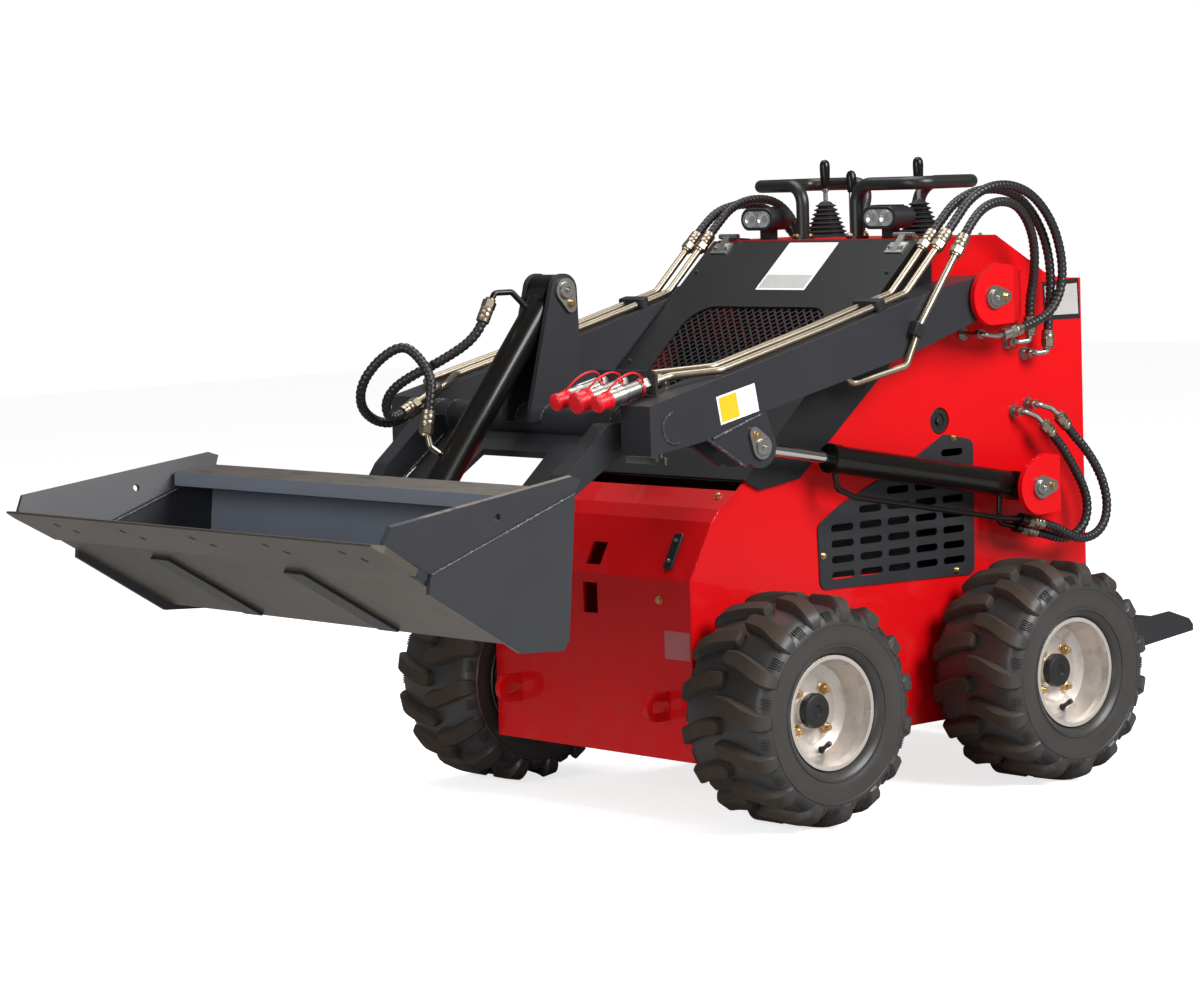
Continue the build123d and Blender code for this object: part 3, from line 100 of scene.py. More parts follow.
def new_piece(name, points, faces, sharp=32):
    """A mesh object from points in metres and faces of point numbers, with sharp edges marked."""
    mesh = bpy.data.meshes.new(name)
    mesh.from_pydata([tuple(p) for p in points], [], faces)
    mesh.validate()
    tidy = bmesh.new()
    tidy.from_mesh(mesh)
    bmesh.ops.remove_doubles(tidy, verts=tidy.verts, dist=1e-6)
    bmesh.ops.recalc_face_normals(tidy, faces=tidy.faces)
    tidy.to_mesh(mesh)
    tidy.free()
    return show(name, mesh, sharp)


def show(name, mesh, sharp=32):
    """Puts a mesh into the scene, smooth but with its edges over `sharp` degrees kept crisp."""
    mesh.polygons.foreach_set("use_smooth", [True] * len(mesh.polygons))
    mesh.set_sharp_from_angle(angle=math.radians(sharp))
    return in_scene(name, mesh)


def hand_over(piece, body, slot, finish=None, stands_for=None):
    """Puts a piece on its body; it may be painted and replace a CAD part; the slot argument is not used."""
    if finish:
        piece.data.materials.clear()
        piece.data.materials.append(finish)
    if stands_for:
        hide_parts(stands_for)
    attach(piece, body)
    return piece


def across(axis):
    """Two directions square to an axis and to each other."""
    axis = Vector(axis).normalized()
    near = Vector((0, 0, 1)) if abs(axis.z) < 0.9 else Vector((0, 1, 0))
    first = near.cross(axis).normalized()
    return first, axis.cross(first)


def lofted(rings, close=False):
    """Points and faces of a skin over rings that have as many points each, with both ends closed."""
    points, faces, n = [p for ring in rings for p in ring], [], len(rings[0])
    for i in range(len(rings) - 1):
        for j in range(n):
            k = (j + 1) % n
            faces.append((i * n + j, i * n + k, (i + 1) * n + k, (i + 1) * n + j))
    if close:
        last = len(rings) - 1
        faces += [(last * n + j, last * n + (j + 1) % n, (j + 1) % n, j) for j in range(n)]
    else:
        faces += [tuple(range(n)), tuple(range(len(points) - 1, len(points) - n - 1, -1))]
    return points, faces


def circle(centre, u, v, radius, steps):
    """Points in a ring round a centre, in metres; u and v are square to each other."""
    angles = [2 * math.pi * j / steps for j in range(steps)]
    return [centre + (u * math.cos(a) + v * math.sin(a)) * radius for a in angles]


def turned(centre, axis, profile, steps=32, close=False):
    """Points and faces of a profile, rows of (along, radius) in millimetres, on an axis."""
    axis = Vector(axis).normalized()
    u, v = across(axis)
    return lofted([
        circle(centre + axis * along * MM, u, v, max(radius, NEEDLE) * MM, steps) for along, radius in profile
    ], close)


def joined(*shells):
    """One list of points and one of faces from several."""
    points, faces = [], []
    for more, those in shells:
        start = len(points)
        points += more
        faces += [tuple(start + i for i in face) for face in those]
    return points, faces


def mirrored(shell):
    """The same shell on the machine's other side."""
    return [Vector((-p.x, p.y, p.z)) for p in shell[0]], shell[1]


print("helpers ready")

# %% [markdown]
# ## Hoses
# Eleven hydraulic hoses in a spiral guard of black plastic: five loop from the boom's tubes to the
# body, two go to each lift cylinder and two to the tilt cylinder. A curve with a round bevel would
# give the route but no spiral, and a normal map would not show in outline. So the route is one
# smooth spline, and a tube is built along the points read from it, with a low ridge that winds
# round: every ring of the tube knows how far along it lies, and the ridge is a pulse of the angle
# minus that distance.

# %% Hose routes
SWAGE = 36.0                                  # a crimped sleeve's length beyond a steel tube
GAP = 0.4                                     # room between a fitting's face and its hose
LEAD = 34.0                                   # a hose starts straight for this length


def sleeve(before, end, run_on=SWAGE):
    """The face that a hose starts from: beyond `end`, in the direction from `before` to it."""
    out = (Vector(end) - Vector(before)).normalized()
    return Vector(end) + out * run_on, out


def opposite(face):
    return tuple(Vector((-v.x, v.y, v.z)) for v in face)


REAR_END, BODY_SIDE = {}, {}
for name, x, low, high in (
    ("left_inner", 337.5, (262, 1022), (363, 1117)), ("left_outer", 378.5, (262, 1022), (363, 1117)),
    ("left_third", 409.5, (270, 958), (385, 1105)), ("right_inner", -337.5, (262, 1022), (363, 1117)),
    ("right_outer", -378.5, (262, 1022), (363, 1117)),
):
    REAR_END[name] = sleeve((x, *low), (x, *high))
for name, before, end in (
    ("first", (368, 556, 922), (368, 612, 933)), ("second", (345, 668, 925), (345, 668, 955)),
    ("third", (350, 716, 894), (350, 718, 923)), ("fourth", (350, 699, 725), (352, 721, 703)),
    ("fifth", (350, 746, 741), (352, 769, 716)),
):
    BODY_SIDE[name] = sleeve(before, end, GAP)
LIFT_PORT = [sleeve((361, 590, 518), (361, 652, 502), GAP), sleeve((386, 580, 537), (386, 647, 521), GAP)]
TILT_PORT = [sleeve((-20, -668, 800), (-20, -660, 836), GAP),
             sleeve((-20, -500, 1035), (-20, -519, 1000), GAP)]
BOOM_LOOPS = [
    ("left_outer", "first", 1, [
        (378, 455, 1206), (378, 515, 1232), (378, 585, 1234), (376, 655, 1209), (374, 714, 1150),
        (373, 742, 1075), (372, 740, 1010), (370, 705, 960),
    ]),
    ("left_inner", "third", 1, [
        (338, 456, 1202), (338, 520, 1224), (338, 595, 1226), (340, 662, 1200), (343, 712, 1140),
        (347, 732, 1070), (349, 730, 1005),
    ]),
    ("left_third", "second", 1, [
        (405, 472, 1191), (400, 530, 1202), (394, 585, 1190), (386, 628, 1150), (374, 656, 1100),
        (358, 670, 1040),
    ]),
    ("right_inner", "second", -1, [
        (-338, 456, 1200), (-338, 520, 1217), (-338, 590, 1210), (-341, 644, 1170),
        (-344, 672, 1110), (-346, 680, 1045),
    ]),
    ("right_outer", "third", -1, [
        (-378, 456, 1194), (-378, 525, 1206), (-378, 595, 1196), (-376, 655, 1158),
        (-370, 702, 1100), (-361, 726, 1040), (-353, 728, 985),
    ]),
]
LIFT_LOOPS = [
    ("fourth", 0, [
        (355, 757, 663), (357, 787, 622), (359, 812, 580), (360, 822, 538), (361, 806, 500),
        (361, 766, 480), (361, 722, 482),
    ]),
    ("fifth", 1, [
        (358, 812, 672), (364, 842, 632), (370, 862, 588), (377, 865, 542), (382, 848, 502),
        (385, 810, 480), (387, 762, 478), (387, 714, 496),
    ]),
]
TILT_LOOPS = [
    (sleeve((-240, -440, 866), (-230, -525, 827)), [
        (-222, -640, 806), (-204, -688, 838), (-180, -702, 886), (-146, -682, 934),
        (-112, -648, 962), (-76, -636, 938), (-34, -640, 898),
    ], TILT_PORT[0]),
    (sleeve((-200, -490, 866), (-190, -565, 835)), [
        (-174, -650, 838), (-142, -656, 872), (-104, -634, 900), (-64, -594, 925),
    ], TILT_PORT[1]),
]
# name, CAD node, first face, points between, last face, bodies, where the bend starts and ends
hose_rows = []
for rear, body_end, flank, middle in BOOM_LOOPS:
    end = BODY_SIDE[body_end] if flank > 0 else opposite(BODY_SIDE[body_end])
    bend = (at(0, 440, 1190), at(0, 659, 1059))
    hose_rows.append((f"hose_{rear}", "boom_hoses", REAR_END[rear], middle, end, ("boom", "chassis"), bend))
for flank, word in ((1, "left"), (-1, "right")):
    for start, port, middle in LIFT_LOOPS:
        first, last = BODY_SIDE[start], LIFT_PORT[port]
        if flank < 0:
            first, last = opposite(first), opposite(last)
            middle = [(-x, y, z) for x, y, z in middle]
        bend = (at(0, 745, 540), at(0, 645, 490))
        name, bodies = f"hose_lift_{word}_{port + 1}", ("chassis", f"lift_barrel_{word}")
        hose_rows.append((name, f"lift_hoses_{word}", first, middle, last, bodies, bend))
for number, (first, middle, last) in enumerate(TILT_LOOPS):
    name, bend = f"hose_tilt_{number + 1}", (first[0] * MM, last[0] * MM)
    hose_rows.append((name, "tilt_hoses", first, middle, last, ("boom", "tilt_barrel"), bend))
print(len(hose_rows), "hose routes")

# %% Build the hoses along their splines
HOSE_R, RIDGE, PITCH, ROUND = 8.5, 1.5, 11.0, 16


def spline_points(points):
    """The points of the smooth curve that the given control points steer, in metres."""
    data = bpy.data.curves.new("route", "CURVE")
    data.dimensions, data.resolution_u = "3D", 24
    line = data.splines.new("NURBS")
    line.points.add(len(points) - 1)
    for knot, point in zip(line.points, points):
        knot.co = (*point, 1)
    line.order_u, line.use_endpoint_u = 3, True
    route = in_scene("route", data)
    mesh = bpy.data.meshes.new_from_object(route.evaluated_get(bpy.context.evaluated_depsgraph_get()))
    found = [v.co.copy() for v in mesh.vertices]
    bpy.data.objects.remove(route)
    bpy.data.meshes.remove(mesh)
    return found


def frames(path):
    """For every point of a path: the point, two directions square to it, and the length so far."""
    turn, far = None, 0.0
    for i, here in enumerate(path):
        along = (path[min(i + 1, len(path) - 1)] - path[max(i - 1, 0)]).normalized()
        if turn is None:
            turn, _ = across(along)
        else:
            far += (here - path[i - 1]).length
        turn = (turn - along * turn.dot(along)).normalized()
        yield here, turn, along.cross(turn), far


def guarded_tube(path):
    """A hose in its spiral guard, along points in metres."""
    rings = []
    for here, turn, other, far in frames(path):
        ring = []
        for j in range(ROUND):
            angle = 2 * math.pi * j / ROUND
            phase = (far / (PITCH * MM) - j / ROUND) % 1.0
            rise = max(0.0, min(1.0, 2.6 - 6.0 * abs(phase - 0.5)))
            way = turn * math.cos(angle) + other * math.sin(angle)
            ring.append(here + way * (HOSE_R + RIDGE * rise) * MM)
        rings.append(ring)
    return lofted(rings), far


hoses = []
for name, node, first, middle, last, bodies, bend in hose_rows:
    lead_out, lead_in = first[0] + first[1] * LEAD, last[0] + last[1] * LEAD
    control = [Vector(p) * MM for p in (first[0], lead_out, *middle, lead_in, last[0])]
    path = spline_points(control)
    (points, faces), length = guarded_tube(path)
    hose = new_piece(name, points, faces, sharp=60)
    hoses.append(hose)
    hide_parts(node)
    tuple(control[0])
    [tuple(p) for p in path]
    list(bodies)
    tuple(bend[0])
    tuple(bend[1])
    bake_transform(hose)
    print(name, round(length / MM), "mm,", len(hose.data.polygons), "faces")

# %% [markdown]
# ## Node trees written as sums
# Materials and Geometry Nodes are both graphs of nodes. Linking them socket by socket hides the
# idea, so one small class wraps a socket and gives it Python's operators: `1 - mask * 0.4` then
# adds the Math nodes itself. Everything else goes through one method, `add`, which takes a node's
# type, its inputs and its settings.

# %% Wrap sockets and node trees
class Wire:
    """An output socket that Python's operators work on."""

    def __init__(self, plan, socket):
        self.plan, self.socket = plan, socket

    def _math(self, operation, *values, clamp=False):
        inputs = dict(enumerate(values))
        return self.plan.add("ShaderNodeMath", inputs, operation=operation, use_clamp=clamp)

    def __neg__(self): return self._math("MULTIPLY", self, -1.0)
    def __abs__(self): return self._math("ABSOLUTE", self)
    def clamped(self): return self._math("ADD", self, 0.0, clamp=True)
    def floored(self): return self._math("FLOOR", self)
    def sine(self): return self._math("SINE", self)
    def atleast(self, other): return self._math("MAXIMUM", self, other)

    def ramp(self, low, high):
        """0 below low, 1 above high, smooth between."""
        return self.plan.add("ShaderNodeMapRange", {0: self, 1: low, 2: high},
                             interpolation_type="SMOOTHSTEP")


def operator(operation, swapped=False):
    """What an operator of Python does to two Wires, or to a number on its left and a Wire."""
    def act(self, other):
        return self._math(operation, other, self) if swapped else self._math(operation, self, other)
    return act


for sign, operation in (
    ("add", "ADD"), ("sub", "SUBTRACT"), ("mul", "MULTIPLY"), ("truediv", "DIVIDE"),
    ("gt", "GREATER_THAN"), ("lt", "LESS_THAN"), ("mod", "FLOORED_MODULO"),
):
    setattr(Wire, f"__{sign}__", operator(operation))
    if sign in ("add", "sub", "mul"):
        setattr(Wire, f"__r{sign}__", operator(operation, swapped=True))


class Plan:
    """A node tree that is written down in Python."""

    def __init__(self, tree):
        self.tree = tree

    def add(self, kind, inputs=None, output=0, **settings):
        """Adds a node; `output` picks the socket to go on with, or None for the node itself."""
        node = self.tree.nodes.new(kind)
        for key, value in settings.items():
            setattr(node, key, value)
        for key, value in (inputs or {}).items():
            if isinstance(value, Wire):
                self.tree.links.new(value.socket, node.inputs[key])
            else:
                node.inputs[key].default_value = value
        return node if output is None else Wire(self, node.outputs[output])

    def split(self, vector):
        node = self.add("ShaderNodeSeparateXYZ", {0: vector}, output=None)
        return [Wire(self, node.outputs[i]) for i in range(3)]

    def join(self, x, y, z):
        return self.add("ShaderNodeCombineXYZ", {0: x, 1: y, 2: z})


class Finish(Plan):
    """A material: where it lies on the machine, its colour, and its shader at the end."""

    def __init__(self, name):
        self.material = bpy.data.materials.new(name)
        self.material.use_nodes = True
        super().__init__(self.material.node_tree)
        self.tree.nodes.clear()
        self.place = self.add("ShaderNodeTexCoord", output="Object")

    def noise(self, scale, detail=3.0, rough=0.55, stretch=None):
        where = self.place
        if stretch:
            where = self.add("ShaderNodeVectorMath", {0: where, 1: stretch}, operation="MULTIPLY")
        inputs = {"Vector": where, "Scale": scale, "Detail": detail, "Roughness": rough}
        return self.add("ShaderNodeTexNoise", inputs)

    def mix(self, amount, first, second):
        def paint(c):
            return c if isinstance(c, Wire) else (*c, 1.0)
        return self.add("ShaderNodeMix", {0: amount, 6: paint(first), 7: paint(second)},
                        output=2, data_type="RGBA", clamp_factor=True)

    def bump(self, height, distance, strength=1.0, edge=None):
        """A Bump node over the surface's own normal, or over edges rounded in the shading."""
        inputs = {"Height": height, "Distance": distance * MM, "Strength": strength}
        if edge:
            inputs["Normal"] = self.add("ShaderNodeBevel", {"Radius": edge * MM}, samples=4)
        return self.add("ShaderNodeBump", inputs)

    def done(self, **sockets):
        named = {key.replace("_", " "): value for key, value in sockets.items()}
        for key, value in named.items():
            if key in ("Base Color", "Emission Color") and isinstance(value, tuple):
                named[key] = (*value, 1.0)
        shader = self.add("ShaderNodeBsdfPrincipled", named)
        self.add("ShaderNodeOutputMaterial", {"Surface": shader}, output=None)
        return self.material


print("node helpers ready")

# %% [markdown]
# ## Paint
# The body is red enamel: a glossy coat with the faint waves of sprayed paint, and a little dust
# low down. The boom, bucket and hood are anthracite, duller and with a finer grain. Sheet edges on
# a real machine are slightly round, which the Bevel node shows without more faces. Colours could
# be single values, but a slow noise that lightens and darkens them keeps big panels from looking
# like plastic.

# %% Red and anthracite paint
def red_paint():
    f = Finish("red enamel")
    z = f.split(f.place)[2]
    cloud, peel = f.noise(2.6), f.noise(420, 1.0)
    dust = (1 - z.ramp(0.12, 0.42)) * f.noise(22, 5.0).ramp(0.42, 0.75)
    colour = f.mix(cloud, (0.64, 0.0, 0.002), (0.74, 0.0003, 0.004))
    colour = f.mix(dust * 0.16, colour, (0.40, 0.12, 0.09))
    return f.done(Base_Color=colour, Roughness=0.48 + 0.08 * cloud + 0.25 * dust,
                  Coat_Weight=0.3, Coat_Roughness=0.05, Specular_IOR_Level=0.16,
                  Normal=f.bump(peel, 0.05, 0.5, edge=1.4))


def anthracite(name="anthracite", depth=1.0):
    """Blue-grey powder coat; depth under 1 makes it darker."""
    f = Finish(name)
    cloud, grain = f.noise(3.4), f.noise(520, 2.0)
    shades = [tuple(c * depth for c in shade) for shade in ((0.020, 0.020, 0.024), (0.029, 0.030, 0.035))]
    colour = f.mix(cloud, *shades)
    scuff = f.noise(30, 8.0, 0.7, stretch=(1, 4, 4)).ramp(0.64, 0.76)
    colour = f.mix(scuff * 0.35, colour, (0.16, 0.16, 0.17))
    chips = f.noise(85, 9.0, 0.8).ramp(0.715, 0.74) * f.noise(9).ramp(0.55, 0.62)
    colour = f.mix(chips * 0.7, colour, (0.34, 0.34, 0.34))
    return f.done(Base_Color=colour, Roughness=0.42 + 0.10 * cloud + 0.15 * scuff,
                  Coat_Weight=0.12, Coat_Roughness=0.08, Specular_IOR_Level=0.34,
                  Normal=f.bump(grain, 0.05, 0.45, edge=1.2))


RED, GREY, HOOD = red_paint(), anthracite(), anthracite("dark hood", 0.30)
print("paints:", RED.name, GREY.name)

# %% [markdown]
# ## Bare and plated metal
# The bucket's floor has lost its paint underneath and is brown-grey steel, scratched along the
# way it digs. The tubes are nickel plated and a little warm, pins are zinc, rods are chrome and
# the cylinders are gloss black. Metal is told apart mostly by its roughness and the direction of
# its scratches, so a noise that is stretched along one axis does most of the work.

# %% Metals
def metal(name, low, high, rough, grain=160, stretch=(1, 1, 1), spread=0.12, depth=0.03):
    f = Finish(name)
    scratch, cloud = f.noise(grain, 4.0, 0.6, stretch), f.noise(7)
    colour = f.mix(cloud * 0.6 + scratch * 0.4, low, high)
    dullness = rough + spread * (scratch - 0.5) + 0.08 * (cloud - 0.5)
    return f.done(Base_Color=colour, Metallic=1.0, Roughness=dullness, Normal=f.bump(scratch, depth, 0.5))


def bucket_paint():
    """Anthracite, with a much lighter copy on faces turned to the front as painted light; bare steel where
    the surface faces down, painted darker toward -x as painted shade, and along the top of the rail.
    """
    f = Finish("worn bucket")
    x, y, z = f.split(f.place)
    facing = f.split(f.add("ShaderNodeTexCoord", output="Normal"))
    under = (-facing[2]).ramp(0.25, 0.55) * (y < -0.88)
    scratch = f.noise(60, 7.0, 0.65, stretch=(1.6, 0.25, 0.4))
    bare = under * (0.86 + 0.14 * scratch.ramp(0.3, 0.5))
    rubbed = f.noise(24, 6.0, 0.7, stretch=(0.4, 2, 2)).ramp(0.30, 0.52)
    rail = facing[2].ramp(0.75, 0.95) * (z > 0.70) * rubbed
    fine = f.noise(500, 2.0)
    cloud = f.noise(5)
    # painted light: faces turned to the front, high in the bucket, get a much lighter copy of the paint
    painted_light_front = (-facing[1]).ramp(0.5, 0.9) * (z > 0.44) * (1 - under) * (y > -0.95)
    paint = f.mix(cloud, (0.026, 0.027, 0.032), (0.036, 0.038, 0.045))
    paint = f.mix(painted_light_front, paint, f.mix(cloud, (0.150, 0.172, 0.215), (0.190, 0.215, 0.262)))
    chips = f.noise(85, 9.0, 0.8).ramp(0.70, 0.735) * f.noise(9).ramp(0.52, 0.6)
    paint = f.mix(chips * 0.8, paint, (0.42, 0.42, 0.42))
    steel = f.mix(scratch, (0.125, 0.105, 0.085), (0.25, 0.217, 0.185))
    # painted shade: the bare steel is darker toward the machine's right (-x) end
    steel = f.mix(x.ramp(-0.5, 0.6), f.mix(0.45, steel, (0.03, 0.026, 0.022)), steel)
    colour = f.mix((bare + rail * 0.9).clamped(), paint, steel)
    return f.done(Base_Color=colour, Metallic=0.55 * bare + 0.3 * rail,
                  Roughness=0.42 + 0.08 * cloud - 0.04 * bare,
                  Normal=f.bump(fine + bare * scratch, 0.06, 0.4, edge=1.2))


def barrel_paint(name="gloss black", low=None, high=None):
    """Gloss black; more than 36 mm from the line low-high, in (y, z) metres, it is bare nickel."""
    f = Finish(name)
    cloud = f.noise(9)
    colour = f.mix(cloud, (0.003, 0.0025, 0.002), (0.007, 0.006, 0.005))
    plated = 0.0
    if low:
        x, y, z = f.split(f.place)
        run, rise = high[0] - low[0], high[1] - low[1]
        reach = math.hypot(run, rise)
        off = ((y - low[0]) * (rise / reach) - (z - low[1]) * (run / reach))
        clear, short = 0.036, 0.05            # from the axis, and from either end
        plated = ((off * off + x * x) > clear ** 2) * (z < low[1] - short) * (z > high[1] + short)
        colour = f.mix(plated, colour, (0.38, 0.33, 0.26))
    return f.done(Base_Color=colour, Metallic=plated, Roughness=0.26 + 0.08 * cloud,
                  Coat_Weight=0.25, Coat_Roughness=0.05, Specular_IOR_Level=0.22,
                  Normal=f.bump(f.noise(260), 0.03, 0.4, edge=1.0))


def edge_steel():
    """The cutting edge is bare; the two strips under the floor are painted near black as painted shade."""
    f = Finish("cutting edge steel")
    _, y, z = f.split(f.place)
    scratch, cloud = f.noise(70, 4.0, 0.6, (1.6, 0.3, 0.4)), f.noise(7)
    below = (y - LIP[0]) * FLOOR_OUT[0] + (z - LIP[1]) * FLOOR_OUT[1]
    # painted shade: the strips below the floor plane are painted near black
    strip = below > 0.0012
    steel = f.mix(cloud * 0.6 + scratch * 0.4, (0.125, 0.105, 0.085), (0.26, 0.228, 0.195))
    colour = f.mix(strip, steel, f.mix(scratch, (0.012, 0.011, 0.011), (0.035, 0.031, 0.028)))
    return f.done(Base_Color=colour, Metallic=0.9 - 0.6 * strip, Roughness=0.38 + 0.10 * (scratch - 0.5),
                  Normal=f.bump(scratch, 0.04, 0.5))


# the lip of the bucket, and the direction out of its floor, as (y, z)
LIP, FLOOR_OUT = (-1.2755, 0.659), (-0.5131, -0.8583)
BUCKET, BARREL = bucket_paint(), barrel_paint()
TILT_BARREL = barrel_paint("gloss black with plated elbows", (-0.3595, 1.056), (-0.7275, 0.600))
NICKEL = metal("nickel tube", (0.30, 0.25, 0.18), (0.42, 0.36, 0.28), 0.36, spread=0.04, depth=0.004)
ZINC = metal("zinc", (0.34, 0.33, 0.31), (0.48, 0.47, 0.44), 0.36, spread=0.05, depth=0.008)
CHROME = metal("chrome rod", (0.62, 0.61, 0.60), (0.74, 0.73, 0.72), 0.12, 90, (1, 0.2, 0.2), 0.05, 0.01)
STEEL = edge_steel()
BRASS = metal("yellow zinc", (0.55, 0.36, 0.16), (0.74, 0.54, 0.28), 0.30)
print("metals: nickel, zinc, chrome, bare steel, yellow zinc")

# %% [markdown]
# ## Rubber, plastic and the rest
# Tyre rubber is nearly black, but its lugs carry dried brown soil. The colour could follow height,
# yet wheels turn, so the tyre's mesh carries an attribute called wear, 1 on the lugs' tops, and
# the soil follows that. Plastic parts are matt with a fine grain, and the rims are warm silver
# paint with dirt in it.

# %% Rubber, plastics, rims and castings
def rubber():
    f = Finish("tyre rubber")
    wear = f.add("ShaderNodeAttribute", output="Fac", attribute_name="wear")
    soil = (wear * 1.15 - 0.55 * f.noise(46, 6.0, 0.7)).ramp(0.12, 0.7)
    fine, cloud = f.noise(700, 3.0), f.noise(12)
    colour = f.mix(cloud, (0.032, 0.030, 0.029), (0.054, 0.051, 0.048))
    brown = f.mix(f.noise(90, 4.0), (0.024, 0.014, 0.007), (0.058, 0.035, 0.020))
    colour = f.mix(soil * 0.85, colour, brown)
    return f.done(Base_Color=colour, Roughness=0.36 + 0.40 * soil + 0.08 * cloud,
                  Normal=f.bump(fine + 2 * f.noise(60, 5.0), 0.10, 0.5))


def plastic(name, colour, rough, grain=600, depth=0.05):
    f = Finish(name)
    cloud = f.noise(14)
    lighter = tuple(c * 1.35 + 0.004 for c in colour)
    return f.done(Base_Color=f.mix(cloud, colour, lighter), Roughness=rough + 0.08 * (cloud - 0.5),
                  Normal=f.bump(f.noise(grain, 2.0), depth, 0.5))


def rim_paint():
    f = Finish("warm silver")
    fine, dirt = f.noise(900, 1.0), f.noise(26, 6.0, 0.7).ramp(0.45, 0.72)
    colour = f.mix(dirt * 0.6, (0.72, 0.67, 0.62), (0.36, 0.30, 0.25))
    return f.done(Base_Color=colour, Metallic=0.7 - 0.5 * dirt, Roughness=0.34 + 0.25 * dirt,
                  Normal=f.bump(fine, 0.05, 0.4, edge=1.0))


def cooler_fins():
    """Thin dark fins, seen through the grille; the darker bands between them are painted shade."""
    f = Finish("cooler fins")
    x = f.split(f.place)[0]
    # painted shade: the wave's low half paints the gaps between the fins near black
    wave = (x * (2 * math.pi / 0.0026)).sine()
    return f.done(Base_Color=f.mix(wave.ramp(-0.4, 0.6), (0.004, 0.004, 0.004), (0.030, 0.030, 0.032)),
                  Metallic=0.4, Roughness=0.5, Normal=f.bump(wave, 0.4, 0.6))


def flat_colour(name, colour, rough=0.45):
    return plastic(name, colour, rough, 300, 0.02)


RUBBER, RIM, FINS = rubber(), rim_paint(), cooler_fins()
BLACK = plastic("black plastic", (0.008, 0.008, 0.009), 0.46)
BOOT = plastic("boot rubber", (0.010, 0.010, 0.010), 0.62, 300, 0.1)
GUARD = plastic("hose guard", (0.009, 0.009, 0.010), 0.40, 260)
SATIN = plastic("satin black tube", (0.011, 0.011, 0.011), 0.36, 400)
RED_CAP = plastic("red cap", (0.62, 0.006, 0.012), 0.34)
CAST = plastic("cast iron", (0.012, 0.011, 0.011), 0.60, 200, 0.2)
WHITE = flat_colour("white film", (0.78, 0.78, 0.77))
YELLOW = flat_colour("yellow film", (0.78, 0.44, 0.004))
SILVER = flat_colour("silver film", (0.42, 0.41, 0.40), 0.35)
PINK = flat_colour("faded film", (0.42, 0.12, 0.12))
print(len(bpy.data.materials), "materials")

# %% [markdown]
# ## Dressing the CAD parts
# A CAD part whose shape is right keeps its mesh and only gets a finish: each has one material
# slot, so a table of part and finish is all it takes.

# %% Give every CAD part its finish
wheels = ("front_left", "front_right", "rear_left", "rear_right")
dress = {
    RED: "side_panels front_plate floor_plate console rear_panel pivot_brackets",
    GREY: "boom_arms boom_front tilt_bracket quick_coupler vent_plates platform platform_brackets",
    HOOD: "hood",
    BUCKET: "bucket_shell bucket_sides", STEEL: "cutting_edge",
    ZINC: "pivot_pins boom_pins hinge_brackets hinge_leaves hose_fittings aux_couplers",
    NICKEL: "boom_tubes", BARREL: "lift_barrel_left lift_barrel_right", TILT_BARREL: "tilt_barrel",
    CHROME: "lift_rod_left lift_rod_right tilt_rod", SATIN: "handle_bars",
    BLACK: "control_levers work_lamps hood_grille", RED_CAP: "coupler_caps",
    CAST: "engine_block wheel_motors", FINS: "cooler",
    RUBBER: " ".join("tyre_" + w for w in wheels), RIM: " ".join("rim_" + w for w in wheels),
}
for finish, names in dress.items():
    for name in names.split():
        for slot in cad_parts[name].material_slots:
            slot.material = finish
for hose in hoses:
    hose.data.materials.append(GUARD)
print(sum(len(names.split()) for names in dress.values()), "CAD parts dressed")

# %% [markdown]
# ## A Geometry Nodes tree that repeats a piece round an axle
# Lugs, ribs and studs all stand in a ring round an axis. Copying them in a Python loop would work,
# but a node tree says the rule once: points numbered 0 to n - 1, each turned by its number. The
# tree ends in Realize Instances and Set Material, the evaluated result becomes a plain mesh, and
# the modifier is gone before the piece is handed to a body.

# %% Build the ring tree and a helper that applies a tree
def start_tree(name, *inputs):
    """A Geometry Nodes group with a geometry in and out and named inputs, as a Plan."""
    group = bpy.data.node_groups.new(name, "GeometryNodeTree")
    group.interface.new_socket("Geometry", in_out="INPUT", socket_type="NodeSocketGeometry")
    for label, kind in inputs:
        group.interface.new_socket(label, in_out="INPUT", socket_type="NodeSocket" + kind)
    group.interface.new_socket("Geometry", in_out="OUTPUT", socket_type="NodeSocketGeometry")
    plan = Plan(group)
    entry = plan.add("NodeGroupInput", output=None)
    plan.given = {socket.name: Wire(plan, socket) for socket in entry.outputs if socket.name}
    return plan


def end_tree(plan, geometry):
    solid = plan.add("GeometryNodeRealizeInstances", {0: geometry})
    painted = plan.add("GeometryNodeSetMaterial", {"Geometry": solid, "Material": plan.given["Material"]})
    plan.add("NodeGroupOutput", {0: painted}, output=None)
    return plan.tree


def grown(piece, tree, **values):
    """The plain mesh that a tree makes of a piece, which it replaces in the scene."""
    modifier = piece.modifiers.new("grow", "NODES")
    modifier.node_group = tree
    for item in tree.interface.items_tree:
        if item.in_out == "INPUT" and item.name in values:
            modifier[item.identifier] = values[item.name]
    bpy.context.view_layer.update()
    result = piece.evaluated_get(bpy.context.evaluated_depsgraph_get())
    mesh = bpy.data.meshes.new_from_object(result)
    name = piece.name
    bpy.data.objects.remove(piece)
    mesh.name = name
    return show(name, mesh)


ring = start_tree("ring round X", ("Count", "Int"), ("Phase", "Float"), ("Material", "Material"))
count, phase = ring.given["Count"], ring.given["Phase"]
number = ring.add("GeometryNodeInputIndex")
angle = number * (2 * math.pi) / count + phase
spots = ring.add("GeometryNodePoints", {"Count": count})
turn = ring.add("FunctionNodeEulerToRotation", {0: ring.join(angle, 0.0, 0.0)})
copies = ring.add("GeometryNodeInstanceOnPoints", {
    "Points": spots, "Instance": ring.given["Geometry"], "Rotation": turn,
})
RING = end_tree(ring, copies)
print("ring tree has", len(RING.nodes), "nodes")


